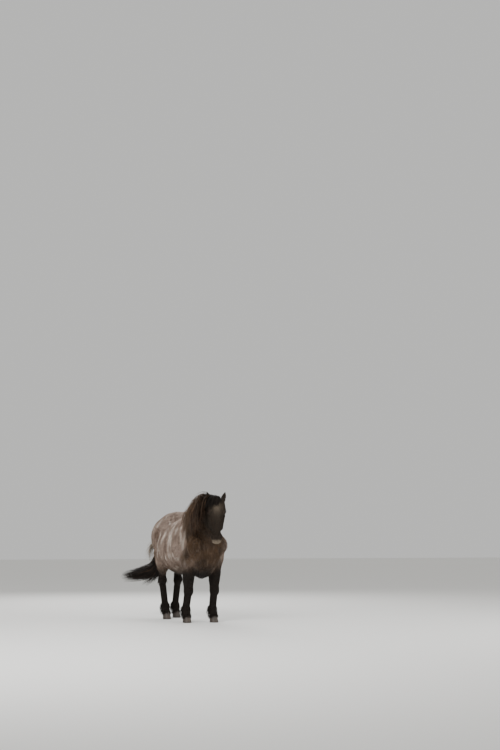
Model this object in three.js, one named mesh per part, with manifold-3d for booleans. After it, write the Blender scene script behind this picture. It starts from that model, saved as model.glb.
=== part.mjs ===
// An Icelandic horse in its winter coat, life size, standing with its head turned to its right and
// its tail blown to the right. Millimetres, +Z up. The horse faces -Y and its left side is at +X.
// Its flesh is one smooth field of bones and muscles, parted into torso, neck, head and legs by thin
// cuts. The surface is that of the coat, and the skin lies about two centimetres inside it.
import * as THREE from "three";
import Module from "manifold-3d";

const wasm = await Module();
wasm.setup();

// Driving sizes of the animal.
const DEG = Math.PI / 180;
const GAP = 0.3; // clear space between two neighbouring parts
const HOOF_HEIGHT = 72; // coronet above the ground, at the toe
const HOOF_WIDTH = 108;
const EYE_RADIUS = 21;
const EAR_LENGTH = 118;
const HEAD_YAW = -22; // the head is turned to the horse's right
const HEAD_PITCH = -10; // the muzzle is carried a little ahead of the poll
const POLL = [-44, -914, 1537]; // top of the skull, and the origin of the head's own frame

// Smooth forms. Each has a distance function and the width over which it melts into the rest.
function ball(at, size, soft = 60, tilt = 0) {
  const c = Math.cos(tilt * DEG);
  const s = Math.sin(tilt * DEG);
  const [a, b, h] = size;
  return {
    soft,
    distance(x, y, z) {
      const px = (x - at[0]) / a;
      const py = ((y - at[1]) * c + (z - at[2]) * s) / b;
      const pz = ((z - at[2]) * c - (y - at[1]) * s) / h;
      const reach = Math.sqrt(px * px + py * py + pz * pz);
      const slope = Math.sqrt((px / a) ** 2 + (py / b) ** 2 + (pz / h) ** 2);
      return slope < 1e-9 ? -Math.min(a, b, h) : (reach * (reach - 1)) / slope;
    },
  };
}

function bone(from, to, startRadius, endRadius, soft = 60, wide = 1) {
  const [ux, uy, uz] = to.map((v, i) => v - from[i]);
  const length2 = ux * ux + uy * uy + uz * uz;
  return {
    soft,
    distance(x, y, z) {
      const dx = x - from[0];
      const dy = y - from[1];
      const dz = z - from[2];
      const t = Math.min(1, Math.max(0, (dx * ux + dy * uy + dz * uz) / length2));
      const qx = (dx - t * ux) / wide;
      const qy = dy - t * uy;
      const qz = dz - t * uz;
      const radius = startRadius + t * (endRadius - startRadius);
      return (Math.sqrt(qx * qx + qy * qy + qz * qz) - radius) * Math.min(1, wide);
    },
  };
}

function melt(a, b, soft) {
  const h = Math.max(soft - Math.abs(a - b), 0) / soft;
  return Math.min(a, b) - (h * h * h * soft) / 6;
}

function meltAll(forms, x, y, z) {
  return forms.reduce((d, form) => melt(d, form.distance(x, y, z), form.soft), 1e6);
}

// The trunk, mirrored about its middle plane.
const trunk = [
  ball([0, -120, 985], [255, 440, 345]), // rib cage
  ball([0, 130, 930], [308, 400, 345], 120), // belly
  ball([0, -420, 895], [208, 240, 338], 120), // chest
  ball([72, -575, 850], [92, 96, 160], 50), // breast muscle
  bone([95, -310, 1260], [158, -560, 965], 76, 90, 90), // shoulder blade
  bone([164, -560, 950], [180, -405, 790], 94, 106, 70), // upper arm
  bone([0, -335, 1352], [0, -110, 1332], 62, 68, 110), // withers
  bone([0, -110, 1316], [0, 330, 1304], 76, 84, 100), // back
  ball([0, 446, 1192], [202, 262, 198], 90), // croup
  ball([132, 498, 1060], [160, 244, 240], 90), // haunch
  bone([102, 655, 1080], [120, 610, 830], 92, 100, 70), // buttock
  ball([150, 310, 900], [142, 180, 215], 100), // flank
  bone([0, 600, 1225], [0, 715, 1190], 66, 46, 60), // root of the dock
];

// The neck, bent to the horse's right: its crest, its muscle and its windpipe side.
const neck = [
  bone([0, -380, 1120], [-10, -570, 1225], 185, 152, 60, 0.82),
  bone([-10, -570, 1225], [-35, -735, 1340], 152, 122, 60, 0.82),
  bone([-35, -735, 1340], [-58, -850, 1410], 122, 98, 60, 0.86),
  bone([0, -300, 1305], [-5, -480, 1405], 64, 58, 60),
  bone([-5, -480, 1405], [-25, -660, 1468], 58, 54, 50),
  bone([-25, -660, 1468], [-60, -850, 1488], 54, 56, 50),
  bone([0, -560, 1010], [-20, -680, 1165], 118, 88, 70),
  bone([-20, -680, 1165], [-48, -780, 1320], 88, 70, 50),
];

// The head in its own frame: the face looks along -Y, the poll is at the origin, the lips near -570.
const skull = [
  ball([0, 48, -85], [90, 84, 92]), // cranium
  ball([0, 32, -170], [97, 68, 115], 40), // forehead
  ball([82, 26, -186], [34, 40, 38], 30), // eye socket
  bone([0, 40, -200], [0, 46, -450], 70, 52, 45, 0.96), // nasal bone
  ball([56, 140, -205], [46, 92, 118], 40), // jowl
  bone([54, 95, -215], [42, 85, -360], 54, 43, 40), // cheek
  bone([38, 165, -255], [24, 112, -445], 33, 29, 40), // jaw bar
  ball([0, 56, -490], [69, 58, 68], 40), // muzzle
  ball([43, 24, -490], [28, 25, 38], 20), // wing of the nostril
  ball([0, 38, -542], [56, 36, 34], 18), // upper lip
  ball([0, 90, -522], [42, 34, 36], 12), // lower lip and chin
  bone([88, 62, -228], [66, 62, -340], 17, 13, 24), // cheek ridge
  bone([70, 30, -55], [88, 22, -150], 30, 26, 30), // temple
];

// The joints of each leg, from the top down. side is +1 on the left and -1 on the right.
const legs = [
  {
    name: "left_fore",
    fore: true,
    side: 1,
    top: [172, -415, 800],
    knee: [164, -428, 392],
    fetlock: [158, -395, 168],
    coronet: [156, -428, HOOF_HEIGHT + 6],
  },
  {
    name: "right_fore",
    fore: true,
    side: -1,
    top: [-172, -395, 800],
    knee: [-172, -385, 388],
    fetlock: [-174, -322, 168],
    coronet: [-176, -350, HOOF_HEIGHT + 6],
  },
  {
    name: "left_hind",
    fore: false,
    side: 1,
    top: [178, 420, 830],
    knee: [132, 640, 520],
    fetlock: [120, 690, 170],
    coronet: [118, 656, HOOF_HEIGHT + 6],
  },
  {
    name: "right_hind",
    fore: false,
    side: -1,
    top: [-178, 350, 820],
    knee: [-140, 530, 518],
    fetlock: [-126, 452, 170],
    coronet: [-124, 414, HOOF_HEIGHT + 6],
  },
];

const shift = ([x, y, z], dx, dy, dz) => [x + dx, y + dy, z + dz];

function foreLegForms({ side, top, knee, fetlock, coronet }) {
  return [
    bone(top, shift(knee, 0, 0, 60), 112, 55, 70, 0.94), // forearm
    bone(shift(top, side * 6, 62, 10), shift(top, 0, 40, -150), 52, 42, 50), // elbow
    ball(shift(knee, 0, -6, 4), [53, 54, 64], 40), // knee
    bone(knee, fetlock, 41, 39, 30), // cannon
    bone(shift(knee, 0, 24, -30), shift(fetlock, 0, 22, 10), 27, 27, 24), // tendons
    ball(shift(fetlock, 0, 4, 0), [46, 50, 48], 30), // fetlock
    bone(fetlock, coronet, 40, 45, 30), // pastern
  ];
}

function hindLegForms({ side, top, knee, fetlock, coronet }) {
  const [kx, ky, kz] = knee;
  const thigh = [side * 158, ky - 70, 860];
  return [
    bone(shift(top, -side * 8, 10, 20), shift(top, -side * 2, 60, -60), 108, 92, 90), // stifle
    bone(thigh, [side * 150, ky - 50, 720], 128, 88, 80), // thigh
    bone(shift(top, 0, 60, -60), shift(knee, 0, -18, 70), 86, 50, 70, 0.85), // gaskin
    bone([side * 148, ky - 20, 740], shift(knee, 0, 36, 70), 58, 26, 60), // hamstring tendon
    ball(shift(knee, 0, -6, 0), [48, 56, 66], 40), // hock
    bone(shift(knee, 0, 44, 66), shift(knee, 0, 30, -20), 26, 26, 30), // point of the hock
    bone([kx, ky - 2, kz - 20], fetlock, 36, 35, 30), // cannon
    bone(shift(knee, 0, 26, -40), shift(fetlock, 0, 20, 10), 27, 27, 24), // tendons
    ball(shift(fetlock, 0, 4, 0), [46, 50, 48], 30), // fetlock
    bone(fetlock, coronet, 40, 44, 30), // pastern
  ];
}

const legForms = legs.map((leg) => (leg.fore ? foreLegForms(leg) : hindLegForms(leg)));

// The head's frame, and points carried into it and out of it.
const headFrame = new THREE.Matrix4().makeRotationFromEuler(
  new THREE.Euler(HEAD_PITCH * DEG, 0, HEAD_YAW * DEG, "ZYX"),
);
headFrame.setPosition(...POLL);
const intoHead = headFrame.clone().invert();
const spot = new THREE.Vector3();

// Distance to the whole horse's surface, negative inside.
function body(x, y, z) {
  let d = meltAll(trunk, Math.abs(x), y, z);
  d = melt(d, meltAll(neck, x, y, z), 80);
  legForms.forEach((forms) => {
    d = melt(d, meltAll(forms, x, y, z), 60);
  });
  spot.set(x, y, z).applyMatrix4(intoHead);
  return melt(d, meltAll(skull, Math.abs(spot.x), spot.y, spot.z), 42);
}

function bodyFromHead(x, y, z) {
  spot.set(x, y, z).applyMatrix4(headFrame);
  return body(spot.x, spot.y, spot.z);
}

function slopeOf(field, [x, y, z]) {
  const e = 0.5;
  return new THREE.Vector3(
    field(x + e, y, z) - field(x - e, y, z),
    field(x, y + e, z) - field(x, y - e, z),
    field(x, y, z + e) - field(x, y, z - e),
  ).divideScalar(2 * e);
}

// A closed net of quads over a field's surface: one vertex in each cell that the surface crosses,
// spread evenly and drawn onto the surface.
function netOver(field, low, high, cell, rounds = 3, shove = 0) {
  const count = low.map((v, i) => Math.ceil((high[i] - v) / cell[i]) + 4);
  const [nx, ny, nz] = count;
  const start = low.map((v, i) => (v + high[i] - (count[i] - 1 - shove) * cell[i]) / 2);
  const stride = Math.min(...cell) / 2;
  const capped = (x, y, z) =>
    Math.max(
      field(x, y, z),
      low[0] - x,
      x - high[0],
      low[1] - y,
      y - high[1],
      low[2] - z,
      z - high[2],
    );
  const index = (i, j, k) => (k * ny + j) * nx + i;
  const value = new Float32Array(nx * ny * nz);
  const corner = (...step) => step.map((v, n) => start[n] + v * cell[n]);
  for (let k = 0; k < nz; k++)
    for (let j = 0; j < ny; j++)
      for (let i = 0; i < nx; i++) value[index(i, j, k)] = capped(...corner(i, j, k));

  const points = [];
  const pointIn = new Map();
  const edges = [];
  for (let a = 0; a < 8; a++)
    for (let axis = 0; axis < 3; axis++)
      if (!((a >> axis) & 1)) edges.push([a, a | (1 << axis)]);
  const cornerOf = (i, j, k, a) => [i + (a & 1), j + ((a >> 1) & 1), k + ((a >> 2) & 1)];
  for (let k = 0; k < nz - 1; k++)
    for (let j = 0; j < ny - 1; j++)
      for (let i = 0; i < nx - 1; i++) {
        const middle = [0, 0, 0];
        let crossings = 0;
        for (const [a, b] of edges) {
          const ca = cornerOf(i, j, k, a);
          const cb = cornerOf(i, j, k, b);
          const va = value[index(...ca)];
          const vb = value[index(...cb)];
          if (va < 0 === vb < 0) continue;
          const t = va / (va - vb);
          ca.forEach((v, n) => (middle[n] += v + t * (cb[n] - v)));
          crossings += 1;
        }
        if (!crossings) continue;
        pointIn.set(index(i, j, k), points.length);
        points.push(middle.map((v, n) => start[n] + (v / crossings) * cell[n]));
      }

  const quads = [];
  for (let k = 1; k < nz - 1; k++)
    for (let j = 1; j < ny - 1; j++)
      for (let i = 1; i < nx - 1; i++) {
        const inside = value[index(i, j, k)] < 0;
        const next = [
          [1, 0, 0],
          [0, 1, 0],
          [0, 0, 1],
        ];
        next.forEach((step, axis) => {
          if (inside === value[index(i + step[0], j + step[1], k + step[2])] < 0) return;
          const [u, v] = [next[(axis + 1) % 3], next[(axis + 2) % 3]];
          const at = (p, q) =>
            pointIn.get(
              index(
                i - p * u[0] - q * v[0],
                j - p * u[1] - q * v[1],
                k - p * u[2] - q * v[2],
              ),
            );
          const quad = [at(0, 0), at(1, 0), at(1, 1), at(0, 1)];
          quads.push(inside ? quad : quad.reverse());
        });
      }

  const draw = (p) => {
    const g = slopeOf(capped, p);
    const size = Math.max(g.lengthSq(), 0.04);
    const step = THREE.MathUtils.clamp(capped(...p) / size, -stride, stride);
    return [p[0] - g.x * step, p[1] - g.y * step, p[2] - g.z * step];
  };
  for (let round = 0; round < rounds; round++) {
    const sum = points.map(() => [0, 0, 0, 0]);
    for (const quad of quads)
      quad.forEach((a, n) => {
        const b = quad[(n + 1) % 4];
        for (const [p, q] of [
          [a, b],
          [b, a],
        ]) {
          points[q].forEach((v, c) => (sum[p][c] += v));
          sum[p][3] += 1;
        }
      });
    sum.forEach((s, n) => {
      points[n] = draw(points[n].map((v, c) => (v + s[c] / s[3]) / 2));
    });
  }
  for (let n = 0; n < points.length; n++) points[n] = draw(draw(points[n]));

  const far = (a, b) => points[a].reduce((d, v, c) => d + (v - points[b][c]) ** 2, 0);
  const triangles = quads.flatMap(([a, b, c, d]) =>
    far(a, c) < far(b, d) ? [a, b, c, a, c, d] : [a, b, d, b, c, d],
  );
  // Where two sheets of the surface meet in one cell, a grid that is shoved along, or a finer one,
  // parts them.
  if (sharesAnEdge(triangles)) {
    const next = shove > 0 ? -shove : 0.23 - shove;
    if (next < 0.8) return netOver(field, low, high, cell, rounds, next);
    return netOver(field, low, high, cell.map((v) => v * 0.95), rounds);
  }
  return solidOf(points.flat(), triangles);
}

function sharesAnEdge(triangles) {
  const known = new Set();
  for (let n = 0; n < triangles.length; n += 3)
    for (const [a, b] of [
      [0, 1],
      [1, 2],
      [2, 0],
    ]) {
      const edge = triangles[n + a] * 1e6 + triangles[n + b];
      if (known.has(edge)) return true;
      known.add(edge);
    }
  return false;
}

function solidOf(positions, triangles) {
  return new wasm.Manifold(
    new wasm.Mesh({
      numProp: 3,
      vertProperties: new Float32Array(positions),
      triVerts: new Uint32Array(triangles),
    }),
  );
}

// Keeps the largest closed surface of a solid, without the slivers that cuts leave.
function largest(solid) {
  const bodies = solid.asOriginal().simplify(0.08).decompose();
  return bodies.reduce((a, b) => (b.volume() > a.volume() ? b : a));
}

// All the space on the side of a plane to which its normal points.
function beyond(point, normal, matrix) {
  const reach = 4000;
  const box = new THREE.BoxGeometry(reach, reach, reach).translate(0, 0, reach / 2);
  const up = new THREE.Vector3(...normal).normalize();
  box.applyQuaternion(new THREE.Quaternion().setFromUnitVectors(new THREE.Vector3(0, 0, 1), up));
  box.translate(...point);
  if (matrix) box.applyMatrix4(matrix);
  return solidFrom(box);
}

// A closed three.js geometry as a solid, its shared corners merged by place.
function solidFrom(geometry) {
  const place = geometry.getAttribute("position");
  const order = geometry.index ? Array.from(geometry.index.array) : [...Array(place.count).keys()];
  const known = new Map();
  const positions = [];
  const renamed = order.map((n) => {
    const p = [place.getX(n), place.getY(n), place.getZ(n)];
    const key = p.map((v) => Math.round(v * 1e3)).join();
    if (!known.has(key)) {
      known.set(key, known.size);
      positions.push(...p);
    }
    return known.get(key);
  });
  const triangles = [];
  for (let n = 0; n < renamed.length; n += 3) {
    const [a, b, c] = renamed.slice(n, n + 3);
    if (a !== b && b !== c && c !== a) triangles.push(a, b, c);
  }
  return solidOf(positions, triangles);
}

function geometryOf(solid) {
  const mesh = solid.getMesh();
  const geometry = new THREE.BufferGeometry();
  const place = new Float32Array(mesh.numVert * 3);
  for (let n = 0; n < mesh.numVert; n++)
    place.set(mesh.vertProperties.subarray(n * mesh.numProp, n * mesh.numProp + 3), n * 3);
  geometry.setAttribute("position", new THREE.BufferAttribute(place, 3));
  geometry.setIndex(new THREE.BufferAttribute(mesh.triVerts, 1));
  geometry.computeVertexNormals();
  return geometry;
}

// A tapering strand through rings of points; it starts with a flat end and may finish in a point.
function strand(rings, pointed = true) {
  const sides = rings[0].length;
  const positions = rings.flat(2);
  const triangles = [];
  const last = rings.length - 1;
  for (let n = 0; n < last; n++)
    for (let a = 0; a < sides; a++) {
      const b = (a + 1) % sides;
      const [p, q] = [n * sides + a, n * sides + b];
      triangles.push(p, q, q + sides, p, q + sides, p + sides);
    }
  for (let a = 1; a < sides - 1; a++) triangles.push(0, a + 1, a);
  const end = last * sides;
  if (pointed) {
    const tip = positions.length / 3;
    const [before, after] = [rings[last - 1], rings[last]].map((ring) =>
      ring.reduce((s, p) => s.map((v, c) => v + p[c] / sides), [0, 0, 0]),
    );
    positions.push(...after.map((v, c) => v + (v - before[c]) * 0.4));
    for (let a = 0; a < sides; a++) triangles.push(end + a, end + ((a + 1) % sides), tip);
  } else for (let a = 1; a < sides - 1; a++) triangles.push(end, end + a, end + a + 1);
  return solidOf(positions, triangles);
}

// A round tube through points, its radius given at each.
function tube(points, radii, sides = 6) {
  const curve = new THREE.CatmullRomCurve3(points.map((p) => new THREE.Vector3(...p)));
  const frames = curve.computeFrenetFrames(radii.length - 1);
  const rings = radii.map((radius, n) => {
    const at = curve.getPointAt(n / (radii.length - 1));
    return [...Array(sides).keys()].map((a) => {
      const turn = (a / sides) * 2 * Math.PI;
      return at
        .clone()
        .addScaledVector(frames.normals[n], radius * Math.cos(turn))
        .addScaledVector(frames.binormals[n], radius * Math.sin(turn))
        .toArray();
    });
  });
  return strand(rings, false);
}

// A part's territory: the space inside every one of its planes, which face outwards.
function territory(planes, inset) {
  const reach = 4000;
  let space = solidFrom(new THREE.BoxGeometry(reach, reach, reach));
  for (const { point, normal, matrix } of planes) {
    const unit = new THREE.Vector3(...normal).normalize();
    const moved = point.map((v, c) => v - unit.getComponent(c) * inset);
    space = space.subtract(beyond(moved, normal, matrix));
  }
  return space;
}

// The planes between the parts, each facing out of the part that is named.
const neckPlanes = [{ point: [0, -495, 1195], normal: [0, 0.8, -0.6] }];
const headPlanes = [
  { point: [0, 92, 10], normal: [0, 0.82, 0.57] },
  { point: [0, 205, -330], normal: [0, 0.97, -0.25] },
];
const dockPlanes = [
  { point: [0, 704, 1190], normal: [0, -0.9, 0.43] },
  { point: [0, 0, 1080], normal: [0, 0, -1] },
  { point: [80, 0, 0], normal: [1, 0, 0] },
  { point: [-80, 0, 0], normal: [-1, 0, 0] },
];
const inHead = (plane) => ({ ...plane, matrix: headFrame });

function upperPlanes({ fore, side, knee }) {
  const inner = side * (fore ? 30 : 8);
  const front = fore ? -640 : knee[1] - 360;
  const back = fore ? -278 : 860;
  const top = fore
    ? { point: [side * 60, 0, 618], normal: [-side * 0.5, 0, 0.86] }
    : { point: [side * 40, 0, 690], normal: [-side * 0.62, 0, 0.78] };
  return [
    { point: [inner, 0, 0], normal: [-side, 0, 0] },
    { point: [0, front, 0], normal: [0, -1, 0] },
    { point: [0, back, 0], normal: [0, 1, 0] },
    top,
  ];
}

// The level below the knee or hock where a leg's lower half begins.
function kneePlane({ knee, fetlock }) {
  const along = knee.map((v, c) => v - fetlock[c]);
  const share = 78 / Math.hypot(...along);
  return { point: knee.map((v, c) => v - along[c] * share), normal: along };
}

const coronetPlane = ({ coronet, fetlock }) => ({
  point: coronet,
  normal: [0, coronet[1] - fetlock[1], -110],
});

function movedAlong(plane, distance) {
  const unit = new THREE.Vector3(...plane.normal).normalize();
  return { ...plane, point: plane.point.map((v, c) => v + unit.getComponent(c) * distance) };
}

const reversed = (plane) => ({ ...plane, normal: plane.normal.map((v) => -v) });
const without = (solid, plane) =>
  solid.subtract(beyond(plane.point, plane.normal, plane.matrix));

// Long hair: flat, tapering locks that bend with the pull of their own weight and the wind.
let seed = 20;
function between(low, high) {
  seed = (seed * 16807) % 2147483647;
  return low + ((high - low) * seed) / 2147483647;
}

// A lock through the points of a path: flat underneath, with a low ridge along its back.
function lock(path, facing, half, thick) {
  const last = path.length - 1;
  const rings = path.map((p, n) => {
    const along = path[Math.min(n + 1, last)].clone().sub(path[Math.max(n - 1, 0)]).normalize();
    const across = new THREE.Vector3().crossVectors(along, facing[n]).normalize();
    const up = new THREE.Vector3().crossVectors(across, along);
    const share = Math.sin(Math.PI * (0.22 + (0.72 * n) / last));
    return [
      [across, half * share],
      [across, -half * share],
      [up, 2 * thick * share],
    ].map(([way, size]) => p.clone().addScaledVector(way, size).toArray());
  });
  return strand(rings);
}

// A lock that starts under the surface of a field and then lies over it as it falls.
function drapedLock(field, root, heading, pull, { steps, step, half, thick, clear, sunk = 14 }) {
  const at = new THREE.Vector3(...drawnOnto(field, root, -sunk));
  const way = new THREE.Vector3(...heading).normalize();
  const path = [];
  const facing = [];
  for (let n = 0; n <= steps; n++) {
    const slope = slopeOf(field, at.toArray()).normalize();
    const lack = clear - field(at.x, at.y, at.z);
    if (n > 0 && lack > 0) at.addScaledVector(slope, lack);
    path.push(at.clone());
    facing.push(slope);
    at.addScaledVector(way, n === 0 ? step * 0.8 : step);
    way.add(pull).normalize();
  }
  return lock(path, facing, half, thick);
}

const joined = (solids) => wasm.Manifold.union(solids);

// Materials.
const coat = (hex) => new THREE.MeshStandardMaterial({ color: hex, roughness: 0.9 });
const finish = {
  body: coat(0x9c887b),
  dark: coat(0x2a2018),
  face: coat(0x3a3028),
  hair: coat(0x2b1e16),
  horn: new THREE.MeshStandardMaterial({ color: 0x6f6257, roughness: 0.6 }),
  eye: new THREE.MeshStandardMaterial({ color: 0x120a06, roughness: 0.1 }),
};

const horse = new THREE.Group();
horse.name = "icelandic_horse";
const headGroup = new THREE.Group();
headGroup.position.set(...POLL);
headGroup.rotation.set(HEAD_PITCH * DEG, 0, HEAD_YAW * DEG, "ZYX");
horse.add(headGroup);

function addPart(name, solid, material, parent = horse) {
  const mesh = new THREE.Mesh(geometryOf(largest(solid)), material);
  mesh.name = name;
  parent.add(mesh);
}

// Torso.
let torso = netOver(body, [-360, -730, 500], [360, 800, 1420], [58, 82, 60]);
for (const leg of legs) torso = torso.subtract(territory(upperPlanes(leg), -GAP / 2));
torso = torso.subtract(territory(neckPlanes, -GAP / 2));
torso = torso.subtract(territory(dockPlanes, -GAP / 2));
addPart("torso", torso, finish.body);

// Neck, with the mane that falls down its right side.
const MANE_LOCKS = 21;
const crestLine = new THREE.CatmullRomCurve3(
  [
    [0, -392, 1424],
    [-3, -480, 1465],
    [-22, -640, 1520],
    [-33, -748, 1540],
  ].map((p) => new THREE.Vector3(...p)),
);
const withoutHead = (x, y, z) =>
  melt(meltAll(trunk, Math.abs(x), y, z), meltAll(neck, x, y, z), 80);

function maneLock(n) {
  const t = (n + between(-0.3, 0.3)) / (MANE_LOCKS - 1);
  const row = n % 3;
  const root = crestLine.getPoint(Math.min(1, Math.max(0, t))).toArray();
  root[0] -= [0, 16, 34][row];
  const length = (390 + 210 * Math.min(1, t * 1.4)) * between(0.88, 1.08);
  const heading = [-0.5, between(0, 0.3), [1, 0.55, 0.2][row]];
  const pull = new THREE.Vector3(-0.15 * (1 - t), between(0, 0.18) - 0.16 * t, between(-1.5, -1.2));
  const size = { steps: 5, step: length / 5.2, half: between(42, 54), thick: 7 };
  return drapedLock(body, root, heading, pull, { ...size, clear: 9 + 8 * (2 - row) });
}

let neckPart = netOver(withoutHead, [-330, -960, 860], [260, -250, 1600], [44, 44, 44]);
neckPart = neckPart.intersect(territory(neckPlanes, GAP / 2));
neckPart = neckPart.subtract(territory(headPlanes.map(inHead), -GAP));
neckPart = joined([neckPart, ...[...Array(MANE_LOCKS).keys()].map(maneLock)]);
addPart("neck", neckPart, finish.body);

// Tail: the dock, and its hair, which the wind has blown to the right.
const TAIL_LOCKS = 11;
const tailPath = [
  [0, 690, 1195],
  [0, 764, 1120],
  [-8, 818, 1000],
  [-50, 862, 800],
  [-125, 892, 655],
  [-300, 975, 585],
  [-525, 1090, 552],
];
const tailRadius = [52, 48, 40, 34, 30, 22, 8];
const tailForms = tailPath
  .slice(1)
  .map((to, n) => bone(tailPath[n], to, tailRadius[n], tailRadius[n + 1], 50));
const tailCore = (x, y, z) => {
  const d = meltAll(tailForms, x, y, z);
  return y < 740 && z > 1080 ? d : Math.max(d, 16 - body(x, y, z));
};
const tailLine = new THREE.CatmullRomCurve3(tailPath.map((p) => new THREE.Vector3(...p)));

function tailLock(n) {
  const start = 0.19 + (0.36 * n) / TAIL_LOCKS;
  const end = between(0.7, 0.95);
  const turn = n * 2.4;
  const steps = 5;
  const path = [];
  const facing = [];
  for (let k = 0; k <= steps; k++) {
    const t = start + ((end - start) * k) / steps;
    const along = tailLine.getTangent(t);
    const side = new THREE.Vector3(-along.y, along.x, 0).normalize();
    const up = new THREE.Vector3().crossVectors(side, along);
    const out = side.multiplyScalar(Math.cos(turn)).addScaledVector(up, Math.sin(turn));
    const spread = (14 + 78 * Math.sin((Math.PI * k) / steps / 1.35)) * (k === 0 ? 1 : 0.9);
    const at = tailLine.getPoint(t).addScaledVector(out, spread);
    at.z -= (end < 0.85 ? 120 : 20) * (k / steps) ** 2;
    const lack = 24 - body(at.x, at.y, at.z);
    if (lack > 0) at.addScaledVector(slopeOf(body, at.toArray()).normalize(), lack);
    path.push(at);
    facing.push(out);
  }
  return lock(path, facing, between(32, 42), 8);
}

let tail = netOver(tailCore, [-560, 640, 440], [120, 1130, 1260], [40, 40, 40]);
tail = tail.subtract(beyond([0, 712, 1190], [0, -0.9, 0.43]));
const bodyWithTail = (x, y, z) => melt(body(x, y, z), meltAll(tailForms, x, y, z), 30);
const root = netOver(bodyWithTail, [-100, 600, 1040], [100, 860, 1280], [26, 26, 26]);
tail = tail.add(root.intersect(territory(dockPlanes, GAP / 2)));
tail = joined([tail, ...[...Array(TAIL_LOCKS).keys()].map(tailLock)]);
addPart("tail", tail, finish.hair);

// Head.
const earRoot = [72, 50, -40];
const earPlane = (side) => ({
  point: [side * earRoot[0], earRoot[1], earRoot[2]],
  normal: [side * 0.72, 0, 0.69],
});

// Eyeballs, the slit between the lids, and the lids.
const eyeAt = (side) => [side * 89, 8, -186];
const slit = { along: [0.64, 0.77], across: [-0.77, 0.64], half: 19, rise: 11.5 };
const eyeball = (side, radius) =>
  solidFrom(new THREE.SphereGeometry(radius, 12, 9).translate(...eyeAt(side)));

function onEye(side, angle, radius, half, rise) {
  const [x, y, z] = eyeAt(side);
  const a = half * Math.cos(angle);
  const b = rise * Math.sin(angle);
  const out = Math.sqrt(radius ** 2 - a ** 2 - b ** 2);
  return [
    x + side * out,
    y + a * slit.along[0] + b * slit.across[0],
    z + a * slit.along[1] + b * slit.across[1],
  ];
}

function lid(side, upper) {
  const angles = [-0.12, 0.12, 0.3, 0.5, 0.7, 0.88, 1.12].map((t) => t * Math.PI * (upper ? 1 : -1));
  const points = angles.map((a) => onEye(side, a, EYE_RADIUS - 1, slit.half, slit.rise));
  const thick = upper ? 6 : 5;
  return tube(points, [0.5, 0.8, 1, 1, 1, 0.8, 0.5].map((v) => v * thick), 5);
}

function eyeOpening(side) {
  const hole = new THREE.SphereGeometry(1, 14, 8);
  hole.scale(15, slit.rise - 1, slit.half - 1);
  hole.rotateX(-Math.atan2(slit.along[0], slit.along[1]));
  const [x, y, z] = eyeAt(side);
  hole.translate(x + side * 19, y, z);
  return solidFrom(hole);
}

function nostril(side) {
  const hole = new THREE.SphereGeometry(1, 10, 8);
  hole.scale(9, 13, 20);
  hole.rotateZ(side * 0.7);
  hole.rotateX(0.25);
  hole.translate(side * 54, 0, -500);
  return solidFrom(hole);
}

function drawnOnto(field, point, lift = 0) {
  return [1, 2, 3, 4].reduce((p) => {
    const g = slopeOf(field, p);
    const step = (field(...p) - lift) / g.lengthSq();
    return [p[0] - g.x * step, p[1] - g.y * step, p[2] - g.z * step];
  }, point);
}

function mouthLine() {
  const right = [
    [46, 92, -458],
    [52, 80, -486],
    [46, 70, -520],
    [30, 64, -548],
  ];
  const left = right.map(([x, y, z]) => [-x, y, z]).reverse();
  const path = [...right, [0, 62, -562], ...left].map((p) => drawnOnto(bodyFromHead, p));
  return tube(path, [1.5, 3, 3.5, 3.5, 3.5, 3.5, 3.5, 3, 1.5], 5);
}

// The outside of an ear, or the socket that is cleared for it when it is swollen by the gap.
function earRings(side, steps, width, depth, forward, clear = 0) {
  const axis = new THREE.Vector3(side * 0.34, 0.1, 0.93).normalize();
  const rootNormal = new THREE.Vector3(...earPlane(side).normal).normalize();
  const facing = new THREE.Vector3(side * 0.4, -0.91, 0);
  return steps.map((t, n) => {
    const up = rootNormal.clone().lerp(axis, Math.min(1, t * 4)).normalize();
    const across = new THREE.Vector3().crossVectors(facing, up).normalize();
    const ahead = new THREE.Vector3().crossVectors(up, across);
    const middle = new THREE.Vector3(side * earRoot[0], earRoot[1], earRoot[2])
      .addScaledVector(rootNormal, GAP - clear + Math.min(t, 0.1) * EAR_LENGTH)
      .addScaledVector(axis, Math.max(t - 0.1, 0) * EAR_LENGTH)
      .addScaledVector(ahead, forward[n] - 10 * t * t);
    return [...Array(10).keys()].map((a) => {
      const turn = (a / 10) * 2 * Math.PI;
      return middle
        .clone()
        .addScaledVector(across, (width[n] + clear) * Math.cos(turn))
        .addScaledVector(ahead, (depth[n] + clear) * Math.sin(turn))
        .toArray();
    });
  });
}

function earOutside(side, clear = 0) {
  const steps = [0, 0.12, 0.3, 0.5, 0.7, 0.86, 0.97];
  const width = [25, 27, 30, 28, 21, 12, 4];
  const depth = [23, 23, 21, 17, 12, 7, 3];
  return strand(earRings(side, steps, width, depth, [0, 0, 0, 0, 0, 0, 0], clear));
}

function earCup(side) {
  const steps = [0.2, 0.32, 0.5, 0.7, 0.86, 0.94];
  const width = [10, 21, 22, 16, 8, 2];
  const depth = [10, 16, 15, 11, 6, 2];
  return strand(earRings(side, steps, width, depth, [12, 11, 9, 7, 4.5, 3]));
}

const FORELOCK_LOCKS = 8;

function forelockLock(n) {
  const t = n / (FORELOCK_LOCKS - 1);
  const root = [-34 + 62 * t, between(16, 44), 20];
  const heading = [-0.35 + 0.4 * t, -0.95, 0.4];
  const pull = new THREE.Vector3(-0.4 + 0.3 * t, 0, -1.3);
  const step = between(34, 44) * (1 - 0.3 * t);
  const size = { steps: 5, step: step * 1.2, half: between(20, 26), thick: 6, clear: 12 + 6 * (n % 2) };
  return drapedLock(bodyFromHead, root, heading, pull, size);
}

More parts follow.
